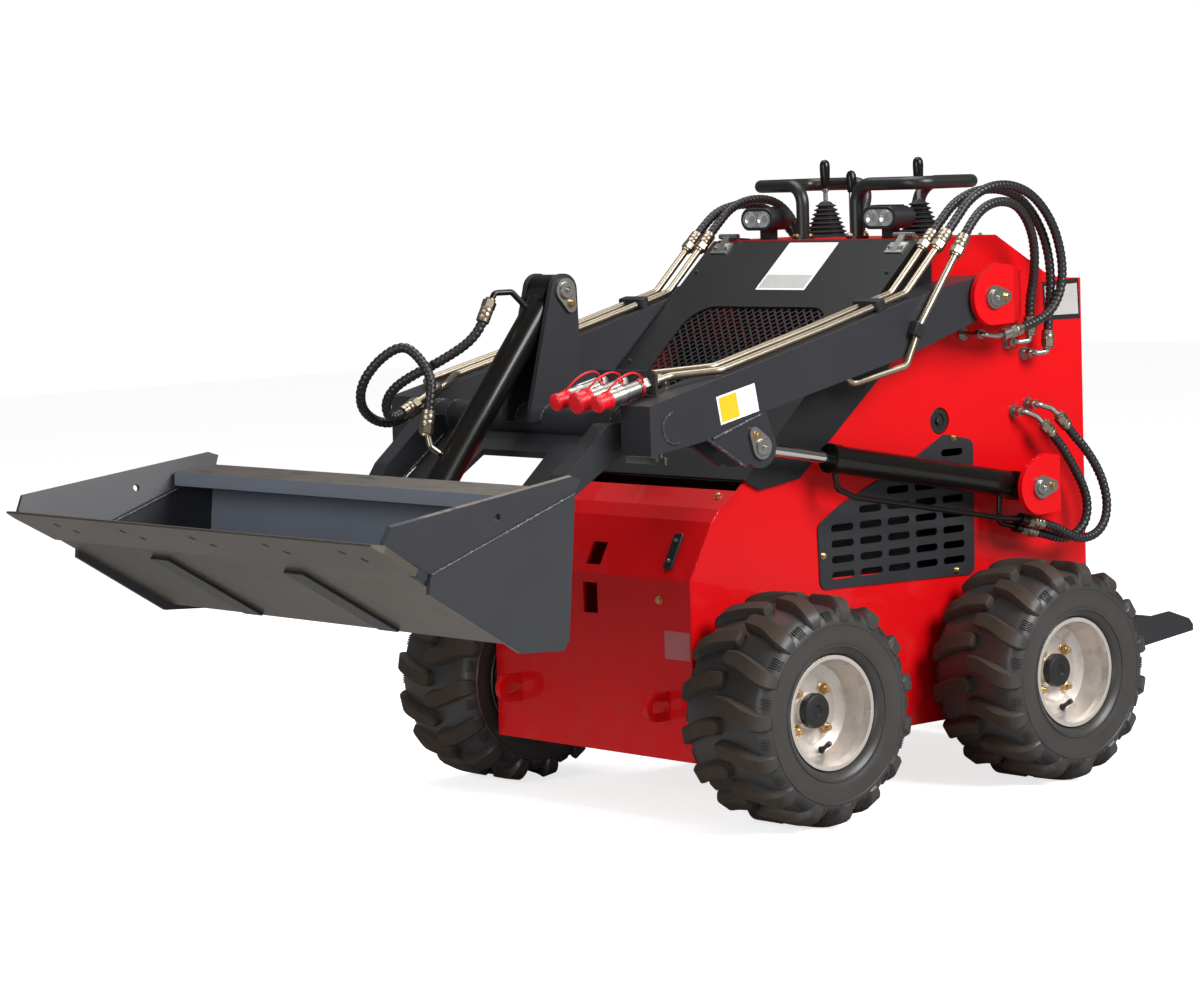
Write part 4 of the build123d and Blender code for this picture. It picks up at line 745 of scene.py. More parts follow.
# %% [markdown]
# ## Tyres
# A wide skid steer tyre: a round carcass, a raised guard ring on the sidewall, and fifteen curved
# lugs on each side of the tread. A lug starts round-nosed near the middle, sweeps back, and drops
# over the shoulder as a block; five thin ribs fill the shoulder between two blocks. Displacing a
# smooth tyre by a texture would blur the lugs' crisp edges, so one lug is lofted through a table
# of stations and the ring tree repeats it.

# %% Loft one lug and turn the carcass
TYRE_R, LUGS, TRACK = 227.6, 15, 448.0
FRONT_AXLE, REAR_AXLE, AXLE_HEIGHT = -137.5, 562.5, 228.0
# from nose to sidewall: x and radius on top, x and radius at the foot, place round the tread, half widths
LUG_STATIONS = [
    (-8, 222, -9, 203, 14, 7, 10), (-5, 226, -7, 203, 14, 13, 16), (2, 227.6, 0, 203, 14, 16, 19.5),
    (18, 227.6, 18, 203, 12, 17, 21), (36, 227.6, 36, 203, 9, 17, 21), (54, 227.6, 54, 203, 3, 17, 21),
    (70, 227, 70, 202, -4, 17.5, 21.5), (84, 225, 84, 201, -10, 18.5, 22.5), (97, 220, 94, 198, -15, 19, 23),
    (107, 213, 100, 193, -18, 19, 23), (114, 203, 104, 186, -19, 18.5, 22.5),
    (117.5, 192, 106, 178, -20, 16, 20), (118, 183, 108, 171, -20, 12, 16),
]


def round_tyre(x, radius, shift):
    """A place on the tyre: x across, radius, and shift round the tread in millimetres."""
    a = shift / TYRE_R
    return Vector((x, radius * math.sin(a), radius * math.cos(a))) * MM


# up the lug's side, over its top and down: how far from foot to top, and which part of the width
LUG_SECTION = ((0, -1), (0.75, -1), (1, -0.82), (1, 0.82), (0.75, 1), (0, 1))


def lug(hand):
    rings = []
    for x_top, r_top, x_foot, r_foot, shift, half_top, half_foot in LUG_STATIONS:
        section = []
        for part, half in LUG_SECTION:
            x = x_foot + (x_top - x_foot) * part
            radius = r_foot + (r_top - r_foot) * part
            width = half_foot + (half_top - half_foot) * part
            section.append(round_tyre(hand * x, radius, shift + half * width))
        rings.append(section)
    points, faces = lofted(rings)
    piece = new_piece("lug", points, faces)
    layer = piece.data.attributes.new("wear", "FLOAT", "POINT")
    for vertex, value in zip(piece.data.vertices, layer.data):
        r = math.hypot(vertex.co.y, vertex.co.z) / MM
        on_tread = abs(vertex.co.x) < 0.1
        value.value = max(0.0, min(1.0, (r - 200) / 24) if on_tread else min(0.7, (r - 185) / 40))
    return piece


CARCASS = [
    (88, 114), (97, 116), (104, 121), (109, 128), (110, 130), (113.5, 131), (114, 134), (112, 135.5),
    (114.5, 142), (116, 152), (116.5, 163), (116, 172), (117.5, 173.5), (117.5, 177), (115.5, 178.5),
    (113.5, 185), (109, 193), (101, 200), (90, 204), (60, 206.5), (0, 207.5),
]
carcass_profile = CARCASS + [(-x, r) for x, r in reversed(CARCASS[:-1])]


def shoulder_ribs(hand):
    """Five thin ribs between two blocks, on the shoulder; a row is x, radius and how far it rises."""
    rows = ((99, 200.5, -1), (101.5, 200, 2.2), (109, 193.5, 2.4), (114, 184.5, 1.6), (115.2, 180, -1))
    section = ((0, -1.7), (1, -0.8), (1, 0.8), (0, 1.7))
    shells = []
    for n in range(5):
        shift = 14 + 5.4 * n
        shells.append(lofted([[
            round_tyre(hand * (x + 0.8 * max(rise, 0) * lift), r + rise * lift - 1.2 * (1 - lift),
                       shift + half)
            for lift, half in section
        ] for x, r, rise in rows]))
    return joined(*shells)


tyre_parts = []
carcass = new_piece("carcass", *turned(Vector((0, 0, 0)), (1, 0, 0), carcass_profile, 120, close=True))
for hand in (1, -1):
    phase = math.pi / LUGS if hand > 0 else 0.0
    tyre_parts.append(grown(lug(hand), RING, Count=LUGS, Phase=-phase, Material=RUBBER))
    ribs = new_piece("ribs", *shoulder_ribs(hand))
    tyre_parts.append(grown(ribs, RING, Count=LUGS, Phase=-phase, Material=RUBBER))
print("one tyre has", len(carcass.data.polygons) + sum(len(p.data.polygons) for p in tyre_parts), "faces")

# %% Put a tyre on every wheel
def merged(name, pieces, turn):
    """One mesh object from several, all attributes kept; the pieces stay as they are."""
    pool = bmesh.new()
    for piece in pieces:
        pool.from_mesh(piece.data)
    mesh = bpy.data.meshes.new(name)
    bmesh.ops.transform(pool, matrix=turn, verts=pool.verts)
    pool.to_mesh(mesh)
    pool.free()
    return show(name, mesh)


def wheel_place(wheel):
    """Moves a piece made at the origin, its outer face towards +x, to a wheel."""
    flank = 1 if wheel.endswith("left") else -1
    axle = FRONT_AXLE if wheel.startswith("front") else REAR_AXLE
    spin = Matrix.Rotation(0.0 if flank > 0 else math.pi, 4, "Z")
    return Matrix.Translation(at(flank * TRACK, axle, AXLE_HEIGHT)) @ spin


for wheel in wheels:
    tyre = merged(f"tread_{wheel}", [carcass, *tyre_parts], wheel_place(wheel))
    hand_over(tyre, f"wheel_{wheel}", "tyre", RUBBER, f"tyre_{wheel}")
for piece in (carcass, *tyre_parts):
    bpy.data.objects.remove(piece)
print("four tyres fitted")

# %% [markdown]
# ## Wheel studs, caps and valves
# Four yellow zinc studs with hexagon nuts hold each rim, a black cap with a dimple covers the
# shaft, and a black valve stands on the dish. The nuts are another job for the ring tree. Their
# mesh is made once at the axle and copied to each wheel.

# %% Make the studs, the cap and the valve
def hexagon(centre, axis, across_flats, low, high, chamfer=1.2):
    radius = across_flats / math.sqrt(3)
    rows = [(low, radius), (high - chamfer, radius), (high, radius - chamfer * 1.2)]
    return turned(centre, axis, rows, 6)


centre = at(0, 0, 53)
stud = joined(
    turned(centre, (1, 0, 0), [(0, 13), (1.6, 13), (2.2, 12)], 20),
    hexagon(centre, (1, 0, 0), 17, 2, 12), turned(centre, (1, 0, 0), [(11, 6), (19, 6), (20.5, 4.6)], 14),
)
stud = [p + at(32, 0, 0) for p in stud[0]], stud[1]
studs = grown(new_piece("studs", *stud), RING, Count=4, Phase=math.pi / 4, Material=BRASS)
cap = new_piece("cap", *turned(at(0, 0, 0), (1, 0, 0), [
    (40, 34.6), (52, 34.6), (56, 32), (58, 27), (58, 12), (54, 8.5), (53, 0),
], 48))
valve = new_piece("valve", *turned(at(40, 25, -80), (0.86, -0.14, 0.48), [
    (-4, 8), (2, 6.5), (6, 4.6), (20, 4.4), (21, 5.4), (31, 5.4), (33, 3.8),
], 16))
hub_parts = (
    ("studs", studs, BRASS, "zinc"), ("cap", cap, BLACK, "black_plastic"),
    ("valve", valve, BLACK, "black_plastic"),
)
for wheel in wheels:
    for word, piece, finish, slot in hub_parts:
        part = merged(f"{word}_{wheel}", [piece], wheel_place(wheel))
        hand_over(part, f"wheel_{wheel}", slot, finish)
for piece in (studs, cap, valve):
    bpy.data.objects.remove(piece)
print("studs, caps and valves on four wheels")

# %% [markdown]
# ## Grille
# The hood's opening is closed by expanded metal: two sets of flat strands that cross and leave
# diamonds. An alpha pattern would look right from afar only. The tree turns a grid by 45 degrees,
# drops the points outside a rounded rectangle, written as one expression on their coordinates,
# and sweeps a flat strand along every edge that is left.

# %% Weave the grille
SLOPE_FOOT, SLOPE_TOP = (-144.5, 662.0), (375.5, 1129.0)
slope_turn = math.atan2(SLOPE_TOP[1] - SLOPE_FOOT[1], SLOPE_TOP[0] - SLOPE_FOOT[0])
up_slope = Vector((0, math.cos(slope_turn), math.sin(slope_turn)))
off_slope = Vector((0, -math.sin(slope_turn), math.cos(slope_turn)))


def on_hood(x, climb, lift=0.0):
    """A place on the hood: x across, how far up its slope, and height off it, in millimetres."""
    return at(x, *SLOPE_FOOT) + (up_slope * climb + off_slope * lift) * MM


weave = start_tree("expanded metal", ("Half width", "Float"), ("Half height", "Float"), ("Corner", "Float"),
                   ("Strand", "Float"), ("Material", "Material"))
given = weave.given
SHEET, STRANDS = 0.7, 46                      # the sheet before it is cut, in metres, and its strands
grid = weave.add("GeometryNodeMeshGrid", {
    "Size X": SHEET, "Size Y": SHEET, "Vertices X": STRANDS, "Vertices Y": STRANDS,
})
grid = weave.add("GeometryNodeTransform", {"Geometry": grid, "Rotation": (0, 0, math.pi / 4)})
x, y, z = weave.split(weave.add("GeometryNodeInputPosition"))
over_x = (abs(x) - given["Half width"] + given["Corner"]).atleast(0.0)
over_y = (abs(y) - given["Half height"] + given["Corner"]).atleast(0.0)
outside = (over_x * over_x + over_y * over_y) > given["Corner"] * given["Corner"]
kept = weave.add("GeometryNodeDeleteGeometry", {"Geometry": grid, "Selection": outside})
lines = weave.add("GeometryNodeMeshToCurve", {0: kept})
strand = weave.add("GeometryNodeCurvePrimitiveQuadrilateral", {"Width": given["Strand"], "Height": 0.0016})
bars = weave.add("GeometryNodeCurveToMesh", {"Curve": lines, "Profile Curve": strand, "Fill Caps": False})
EXPANDED = end_tree(weave, bars)
# a tree that makes its own shape still needs a mesh to sit on
SEED = [at(0, 0, 0), at(1, 0, 0), at(0, 1, 0)], [(0, 1, 2)]
sizes = {"Half width": 0.227, "Half height": 0.2155, "Corner": 0.08, "Strand": 0.0038}
grille = grown(new_piece("grille_weave", *SEED), EXPANDED, Material=BLACK, **sizes)
GRILLE_UP, GRILLE_SUNK = 293.5, -4.6          # its middle up the hood's slope, and below the sheet
middle = on_hood(0, GRILLE_UP, GRILLE_SUNK)
grille.data.transform(Matrix.Translation(middle) @ Matrix.Rotation(slope_turn, 4, "X"))
hand_over(grille, "hood", "grille", stands_for="hood_grille")
print("grille:", len(grille.data.polygons), "faces")

# %% [markdown]
# ## Small shapes as solids
# Decals, clamps and brackets are thin or boxy. A plate with rounded corners is drawn in its own
# plane and given a thickness; a bent rod is a round section carried along the spline that its
# points steer, as the hoses are.

# %% Plates, rods and boxes
def rounded(width, height, corner, steps=5):
    """The outline of a rounded rectangle, as (across, up) pairs in millimetres."""
    outline = []
    for cx, cy, start in ((1, 1, 0), (-1, 1, 90), (-1, -1, 180), (1, -1, 270)):
        for i in range(steps + 1):
            a = math.radians(start + 90 * i / steps)
            outline.append((cx * (width / 2 - corner) + corner * math.cos(a),
                            cy * (height / 2 - corner) + corner * math.sin(a)))
    return outline


def plate(centre, across_way, up_way, outline, thick, round_off=0.0):
    """A flat solid: its outline stands on a plane through centre, and it grows along the normal."""
    u, v = Vector(across_way).normalized(), Vector(up_way).normalized()
    out = u.cross(v)
    rows = [(0.0, 0.0), (thick - round_off, 0.0)] + ([(thick, round_off)] if round_off else [])
    rings = []
    for height, inset in rows:
        ring = []
        for a, b in outline:
            reach = math.hypot(a, b) or 1.0
            k = 1 - inset / reach
            ring.append(centre + (u * a * k + v * b * k + out * height) * MM)
        rings.append(ring)
    return lofted(rings)


def box(low, high, bevel=1.0):
    """A box between two corners in millimetres, with its upright edges rounded."""
    (x0, y0, z0), (x1, y1, z1) = low, high
    middle = at((x0 + x1) / 2, (y0 + y1) / 2, z0)
    return plate(middle, (1, 0, 0), (0, 1, 0), rounded(x1 - x0, y1 - y0, bevel, 2), z1 - z0, min(bevel, 1.0))


def rod(points, radius, steps=12):
    """A round bar along points in millimetres, or along the spline that three or more steer."""
    path = [Vector(p) * MM for p in points]
    if len(path) > 2:
        path = spline_points(path)[::3] + [path[-1]]
    return lofted([circle(here, turn, other, radius * MM, steps) for here, turn, other, _ in frames(path)])


def fit(name, shell, finish, body, slot, stands_for=None):
    """Makes the piece, paints it, and puts it on a body."""
    return hand_over(new_piece(name, *shell), body, slot, finish, stands_for)


print("solid helpers ready")

# %% [markdown]
# ## Hose ends
# Each hose is crimped in a steel sleeve and screwed on with a hexagon nut. The CAD part has the
# plain sleeve; over it goes one with two crimped grooves, and a nut behind it that is turned with
# six sides, so that the light breaks on its flats.

# %% Crimp a sleeve and a nut on every hose end
def hose_end(face, length):
    place, out = face[0] * MM, -face[1]
    sleeve_rows = [(0.4, 11.0), (1.2, 13.2), (8, 13.5), (9, 12.9), (10, 13.5), (19, 13.5), (20, 12.9),
                   (21, 13.5), (length - 7, 13.4), (length - 6, 12.8)]
    nut_place = place + out * (length - 5) * MM
    return joined(turned(place, out, sleeve_rows, 20), hexagon(nut_place, out, 25, 0, 16, 1.5),
                  turned(nut_place, out, [(14, 10.5), (20, 10.5), (21, 9)], 14))


ends = {"boom": [], "chassis": [], "tilt_barrel": [], "lift_barrel_left": [], "lift_barrel_right": []}
for name, node, first, middle, last, bodies, bend in hose_rows:
    for face, body in ((first, bodies[0]), (last, bodies[1])):
        ends[body].append(hose_end(face, 24.0 if body == "chassis" else SWAGE))
for body, shells in ends.items():
    fit(f"hose_ends_{body}", joined(*shells), NICKEL, body, "zinc")
print(sum(len(s) for s in ends.values()), "hose ends")

# %% [markdown]
# ## Bolts and screws
# Hexagon bolts and cap screws hold the machine together. A tree puts one head on every
# point of a small mesh, turned to that point's own "out" direction and spun by a random angle
# with a fixed seed, so no two flats line up. One mesh is made for each body and finish.

# %% Build the bolt tree
bolts = start_tree("bolt heads", ("Size", "Float"), ("Seed", "Int"), ("Material", "Material"))
size = bolts.given["Size"]
washer = bolts.add("GeometryNodeMeshCylinder", {"Vertices": 24, "Radius": size * 1.15, "Depth": size * 0.36})
head = bolts.add("GeometryNodeMeshCylinder", {"Vertices": 6, "Radius": size * 0.86, "Depth": size * 0.8})
crown = bolts.add("GeometryNodeMeshCone", {
    "Vertices": 6, "Radius Top": size * 0.66, "Radius Bottom": size * 0.86, "Depth": size * 0.12,
})
lifted = [
    bolts.add("GeometryNodeTransform", {"Geometry": shape, "Translation": bolts.join(0.0, 0.0, height)})
    for shape, height in ((head, size * 0.55), (crown, size * 0.95))
]
joint = bolts.add("GeometryNodeJoinGeometry", output=None)
for part in (washer, *lifted):
    bolts.tree.links.new(part.socket, joint.inputs[0])
outward = bolts.add("GeometryNodeInputNamedAttribute", {"Name": "out"}, data_type="FLOAT_VECTOR")
facing = bolts.add("FunctionNodeAlignRotationToVector", {"Vector": outward}, axis="Z")
spin = bolts.add("FunctionNodeRandomValue", {2: 0.0, 3: 6.28, "Seed": bolts.given["Seed"]},
                 output=1, data_type="FLOAT")
spun = bolts.add("FunctionNodeRotateRotation", {
    0: facing, 1: bolts.add("FunctionNodeEulerToRotation", {0: bolts.join(0.0, 0.0, spin)}),
}, rotation_space="LOCAL")
heads = bolts.add("GeometryNodeInstanceOnPoints", {
    "Points": bolts.given["Geometry"], "Instance": Wire(bolts, joint.outputs[0]), "Rotation": spun,
})
BOLTS = end_tree(bolts, heads)


def bolt_heads(name, spots, size, finish, body, slot):
    """Heads at spots, rows of (place in metres, direction out)."""
    mesh = bpy.data.meshes.new(name)
    mesh.from_pydata([tuple(p) for p, _ in spots], [], [])
    layer = mesh.attributes.new("out", "FLOAT_VECTOR", "POINT")
    for value, (_, out) in zip(layer.data, spots):
        value.vector = Vector(out).normalized()
    piece = grown(in_scene(name, mesh), BOLTS, Size=size * MM, Seed=len(spots), Material=finish)
    hand_over(piece, body, slot)
    return len(spots)


def both_sides(spots):
    return spots + [(Vector((-p.x, p.y, p.z)), Vector((-n[0], n[1], n[2]))) for p, n in spots]


print("bolt tree has", len(BOLTS.nodes), "nodes")

# %% Put the bolts in
OUT = Vector((1, 0, 0))
FRONT, BACK, UP = Vector((0, -1, 0)), Vector((0, 1, 0)), Vector((0, 0, 1))
KEEPER = 29.0                                 # from a pin's middle to its keeper's screw


def keeper(x, y, z, degrees=0.0):
    a = math.radians(degrees)
    return at(x, y + KEEPER * math.cos(a), z + KEEPER * math.sin(a)), OUT


vent = [(at(306.2, y, z), OUT) for y, z in ((81, 500), (468, 434), (467, 711))]
front = [(at(215, -282.9, 441), FRONT), (at(268, -165.8, 638.6), Vector((0, -0.52, 0.85)))]
rear = [(at(x, 875.9, z), BACK) for x in (240, 80) for z in (330, 640, 985)]
feet = [(at(82 + 17 * math.cos(a), y + 17 * math.sin(a), 1135.2), UP)
        for y in (425.5, 589) for a in (0.5, 2.6, 4.7)]
feet += [(at(281, y, 1129.2), UP) for y in (399, 590)]
ears = [(at(278.2, 884, z), OUT) for z in (206, 258)]
keepers = [keeper(424.2, 481, 1004.8), keeper(424.2, 611, 602.1)]
leaf = [(on_hood(265.5 + dx, 671, 3.1), off_slope) for dx in (-17, 17)]
rim_screws = [(on_hood(289, climb, 0.2), off_slope) for climb in (60, 330, 600)]
count = 0
for name, spots, size, finish, body, slot in (
    ("vent_screws", both_sides(vent), 6.0, BRASS, "chassis", "zinc"),
    ("front_bolts", both_sides(front), 7.5, BRASS, "chassis", "zinc"),
    ("rear_bolts", both_sides(rear), 7.0, ZINC, "chassis", "zinc"),
    ("console_screws", both_sides(feet), 4.5, BRASS, "chassis", "zinc"),
    ("platform_bolts", both_sides(ears), 5.0, ZINC, "chassis", "zinc"),
    ("keeper_bolts", both_sides(keepers), 7.5, BRASS, "chassis", "zinc"),
    ("arm_keeper_bolts", both_sides([keeper(407.2, -172, 743.2, 125)]), 7.5, BRASS, "boom", "zinc"),
    ("tilt_keeper_bolt", [keeper(51.2, -359.5, 1056, -68)], 7.5, BRASS, "boom", "zinc"),
    ("hinge_screws", both_sides(leaf), 4.5, ZINC, "hood", "zinc"),
    ("hood_screws", both_sides(rim_screws), 4.5, GREY, "hood", "grey_paint"),
):
    count += bolt_heads(name, spots, size, finish, body, slot)
print(count, "bolts and screws")

# %% Dress the pins' ends
def pin_end(centre, out):
    return joined(
        turned(centre, out, [(-1, 17), (3.6, 17), (5, 15.5), (5, 7), (3.4, 5.5), (3.2, 0)], 32),
        turned(centre, out, [(2, 4.2), (6, 4.2), (7, 3.0), (9, 2.6), (10, 1.2)], 12),
    )


for name, body, spots in (
    ("body_pin_ends", "chassis", [(427, 481, 1004.8), (427, 611, 602.1)]),
    ("arm_pin_ends", "boom", [(410, -172, 743.2)]),
):
    shells = [pin_end(at(*spot) - OUT * 2.4 * MM, OUT) for spot in spots]
    fit(name, joined(*shells, *[mirrored(s) for s in shells]), ZINC, body, "zinc")
fit("tilt_pin_end", pin_end(at(51.6, -359.5, 1056), OUT), ZINC, "boom", "zinc")
print("pin ends with grease nipples")

# %% [markdown]
# ## Weld beads
# Plates are joined by hand-laid beads with their ripples. A displaced cylinder would have to be
# unwrapped along each seam. Instead a tree takes edges for seams, resamples them every couple of
# millimetres, and lets the bead's radius swell and shrink with the point's number before a round
# section is swept along.

# %% Build the bead tree
weld = start_tree("weld bead", ("Radius", "Float"), ("Material", "Material"))
seam = weld.add("GeometryNodeMeshToCurve", {0: weld.given["Geometry"]})
seam = weld.add("GeometryNodeResampleCurve", {"Curve": seam, "Length": 0.0026}, mode="LENGTH")
step = weld.add("GeometryNodeInputIndex")
drift = weld.add("ShaderNodeTexNoise", {"Scale": 38.0, "Detail": 2.0})
swell = 1 + 0.22 * (step * 1.9).sine() + 0.7 * (drift - 0.5)
seam = weld.add("GeometryNodeSetCurveRadius", {"Curve": seam, "Radius": swell * weld.given["Radius"]})
section = weld.add("GeometryNodeCurvePrimitiveCircle", {"Resolution": 7, "Radius": 1.0}, mode="RADIUS")
bead = weld.add("GeometryNodeCurveToMesh", {
    "Curve": seam, "Profile Curve": section, "Scale": swell * weld.given["Radius"], "Fill Caps": True,
})
WELD = end_tree(weld, bead)


def beads(name, seams, radius, finish, body, slot):
    """Beads along seams, each a list of points in millimetres."""
    points, edges = [], []
    for line in seams:
        edges += [(len(points) + i, len(points) + i + 1) for i in range(len(line) - 1)]
        points += [tuple(Vector(p) * MM) for p in line]
    mesh = bpy.data.meshes.new(name)
    mesh.from_pydata(points, edges, [])
    piece = hand_over(grown(in_scene(name, mesh), WELD, Radius=radius * MM, Material=finish), body, slot)
    return len(piece.data.polygons)


def circle_seam(x, centre, radius, start, end, steps=16):
    angles = [math.radians(start + (end - start) * i / steps) for i in range(steps + 1)]
    return [(x, centre[0] + radius * math.cos(a), centre[1] + radius * math.sin(a)) for a in angles]


def flipped(seams):
    return seams + [[(-x, y, z) for x, y, z in line] for line in seams]


def bead_paint():
    """Grey paint that spatter and knocks have chipped off the ripples."""
    f = Finish("chipped bead")
    chips = f.noise(130, 6.0, 0.75).ramp(0.54, 0.62)
    colour = f.mix(chips * 0.75, (0.032, 0.033, 0.038), (0.36, 0.36, 0.36))
    return f.done(Base_Color=colour, Roughness=0.5 - 0.1 * chips, Normal=f.bump(chips, 0.1, 0.5))


BEAD = bead_paint()
LIFT_EYE, TILT_EYE = (-395.5, 796), (-399.5, 800)
bucket_seams = flipped([
    [(557, -835, 446), (557, -817, 446), (557, -801, 700)],
    [(569, -1130.5, 595), (569, -793.5, 711)],
    [(557, -1120, 598), (557, -810, 704)],
    [(557, -1130, 578), (557, -918, 452)],
]) + [[(-556, -889, 684), (556, -889, 684)], [(-556, -1172, 604.5), (556, -1172, 604.5)]]
boom_seams = flipped([
    circle_seam(401.5, LIFT_EYE, 31, 100, 290),
    *[circle_seam(x, TILT_EYE, 32.5, start, end) for x, start, end in (
        (300.5, -60, 250), (254.5, -60, 250), (315.5, 0, 360), (45.5, 5, 175), (32.5, 5, 175),
    )],
    [(254, -440, 765), (254, -560, 676)], [(402, -313, 768.5), (402, -214, 707)],
    [(402, -300, 768), (402, -170, 807)],
])
body_seams = flipped([
    [(303.5, 686, 960), (303.5, 686, 1050)], [(303.5, 801, 560), (303.5, 801, 650)],
    [(303.3, -280, 128), (303.3, -280, 480), (303.3, -220, 592), (303.3, -198, 616)],
])
faces = beads("bucket_beads", bucket_seams, 2.4, BEAD, "bucket", "grey_paint")
faces += beads("boom_beads", boom_seams, 2.6, BEAD, "boom", "grey_paint")
faces += beads("body_beads", body_seams, 1.6, RED, "chassis", "red_paint")
print("beads:", faces, "faces")

# %% [markdown]
# ## Bare plates and decals
# The machine carries a square of film on each arm, a plate on the hood, a data plate at the back
# and a faded label in front. They stay blank here, but a film's white rim, its yellow field and its
# small thickness are seen from a step away, so each is a thin solid with its own corners.

# %% Lay films and plates
def film(corners, out, thick=0.5):
    """A thin solid on four corners in metres."""
    out = Vector(out).normalized() * thick * MM
    return lofted([[Vector(c) for c in corners], [Vector(c) + out for c in corners]])


def patch(corners, low, high, inset=0.0):
    """Part of a four-cornered face: from low to high along its first edge."""
    a, b, c, d = corners
    def blend_of(u, v):
        return (a * (1 - u) + b * u) * (1 - v) + (d * (1 - u) + c * u) * v
    return [blend_of(low, inset), blend_of(high, inset), blend_of(high, 1 - inset), blend_of(low, 1 - inset)]


arm_film = [at(401.2, *yz) for yz in ((-276, 793), (-174, 814), (-185, 869), (-287, 848))]
fields = film(arm_film, OUT, 0.4)
fit("arm_film_rim", joined(fields, mirrored(fields)), WHITE, "boom", "zinc")
left_field = film(patch(arm_film, 0.045, 0.50, 0.07), OUT, 0.7)
fit("arm_film_left", joined(left_field, mirrored(left_field)), YELLOW, "boom", "zinc")
data_plate = [at(303.2, *yz) for yz in ((758, 942), (872, 940), (868, 1027), (754, 1023))]
fit("data_plate_rim", film(data_plate, OUT, 0.5), BLACK, "chassis", "black_plastic")
fit("data_plate_face", film(patch(data_plate, 0.05, 0.95, 0.12), OUT, 0.8), SILVER, "chassis", "zinc")
hood_plate = plate(on_hood(10, 618, 0.2), (1, 0, 0), up_slope, rounded(148, 142, 2), 0.8)
fit("hood_plate", hood_plate, WHITE, "hood", "zinc")
strip = plate(on_hood(10, 572, 0.2), (1, 0, 0), up_slope, rounded(138, 40, 1), 1.1)
fit("hood_plate_strip", strip, SILVER, "hood", "zinc")
front_label = [at(x, -282.7, z) for x, z in ((226, 325), (300, 325), (300, 381), (226, 381))]
fit("front_label", film(front_label, (0, -1, 0), 0.4), PINK, "chassis", "zinc")
print("blank films and plates laid")

# %% [markdown]
# ## Work lamps
# Two oval lamps stand in front of the levers. Behind a clear lens sit two round reflectors. The
# lens is a thin shell with a little alpha, because a full glass shader would cost render time and
# hide the bowls in its reflections.

# %% Make the lamps' bezels, bowls and lenses
def clear_lens():
    f = Finish("clear lens")
    ripple = f.noise(60)
    return f.done(Base_Color=f.mix(ripple, (0.75, 0.78, 0.80), (0.85, 0.86, 0.88)),
                  Roughness=0.05 + 0.02 * ripple, Alpha=0.16 + 0.05 * ripple,
                  Coat_Weight=1.0, Coat_Roughness=0.03)


LENS = clear_lens()
BOWL = metal("lamp reflector", (0.66, 0.67, 0.69), (0.84, 0.84, 0.85), 0.12, spread=0.04, depth=0.005)
LAMP_BACK, LAMP_HEIGHT, LAMP_X = 391.5, 1173, 185
outline = rounded(100, 48, 23.9, 10)
BEZEL = ((0.0, 1.0, 1.0), (4.5, 1.0, 1.0), (6.5, 0.965, 0.93), (6.5, 0.86, 0.74), (1.0, 0.83, 0.68))
LENS_ROWS = ((5.4, 0.86, 0.74), (7.2, 0.84, 0.70))
REFLECTOR = [(0, 4), (0.4, 8), (3.6, 15.4), (4.4, 16.8), (4.6, 17.4), (0, 17.4)]


def oval(x, rows):
    """A skin over ovals, rows of (how far in front of the lamp's back, scale across, scale up)."""
    return lofted([
        [at(x + a * wide, LAMP_BACK - lift, LAMP_HEIGHT + b * high) for a, b in outline]
        for lift, wide, high in rows
    ])


bezels, bowls, lenses, fins = [], [], [], []
for x in (LAMP_X, -LAMP_X):
    bezels.append(oval(x, BEZEL))
    bowls += [turned(at(x + shift, 391, LAMP_HEIGHT), FRONT, REFLECTOR, 28) for shift in (-19.5, 19.5)]
    lenses.append(oval(x, LENS_ROWS))
    fins += [box((x - 36, 399 + 5 * n, 1194), (x + 36, 401 + 5 * n, 1199.5), 0.5) for n in range(6)]
fit("lamp_bezels", joined(*bezels), BLACK, "chassis", "black_plastic")
fit("lamp_bowls", joined(*bowls), BOWL, "chassis", "chrome")
fit("lamp_lenses", joined(*lenses), LENS, "chassis", "black_plastic")
fit("lamp_fins", joined(*fins), BLACK, "chassis", "black_plastic")
print("two work lamps with", len(bowls), "bowls")

# %% [markdown]
# ## Levers
# Each drive lever grows out of a bellows of black rubber, with a steel rod and a glossy knob. The
# bellows is turned from a zigzag profile whose ribs shrink upwards; a screw modifier would give
# the same shape but leave less say over each rib.

# %% Turn the bellows, rods and knobs
BELLOWS_RIB = ((0, 6), (1.4, 6.5), (4.2, 0.6), (5.6, 0.6), (8.4, 8))      # rise, and how far in
DRIVE_ROD = [(70, 5), (98, 5), (99, 7.5), (104, 7.5), (105, 6), (112, 6)]
DRIVE_KNOB = [(106, 6), (107, 8), (112, 9.2), (128, 10.6), (150, 11.4), (159, 10.8), (164, 8.4),
              (167, 5), (168, 0)]
SLIM_ROD = [(0, 15.8), (6, 15.8), (10, 12), (11, 6), (119, 6)]
SLIM_KNOB = [(96, 6), (97, 8), (104, 10), (122, 11.4), (134, 10.6), (141, 7), (144, 0)]
profile = [(0, 47), (4, 47), (6, 44)]
for n in range(7):
    radius = 45.5 - 3.7 * n
    low = 7 + 9.4 * n
    profile += [(low + rise, radius - inset) for rise, inset in BELLOWS_RIB]
profile += [(74, 14), (77, 10), (78, 5)]
boots, rods, knobs = [], [], []
for x in (141, -141):
    base = at(x, 552.5, 1129)
    boots.append(turned(base, UP, profile, 40))
    rods.append(turned(base, UP, DRIVE_ROD, 20))
    knobs.append(turned(base, UP, DRIVE_KNOB, 28))
slim = at(0, 492.5, 1129)
rods.append(turned(slim, UP, SLIM_ROD, 24))
knobs.append(turned(slim, UP, SLIM_KNOB, 24))
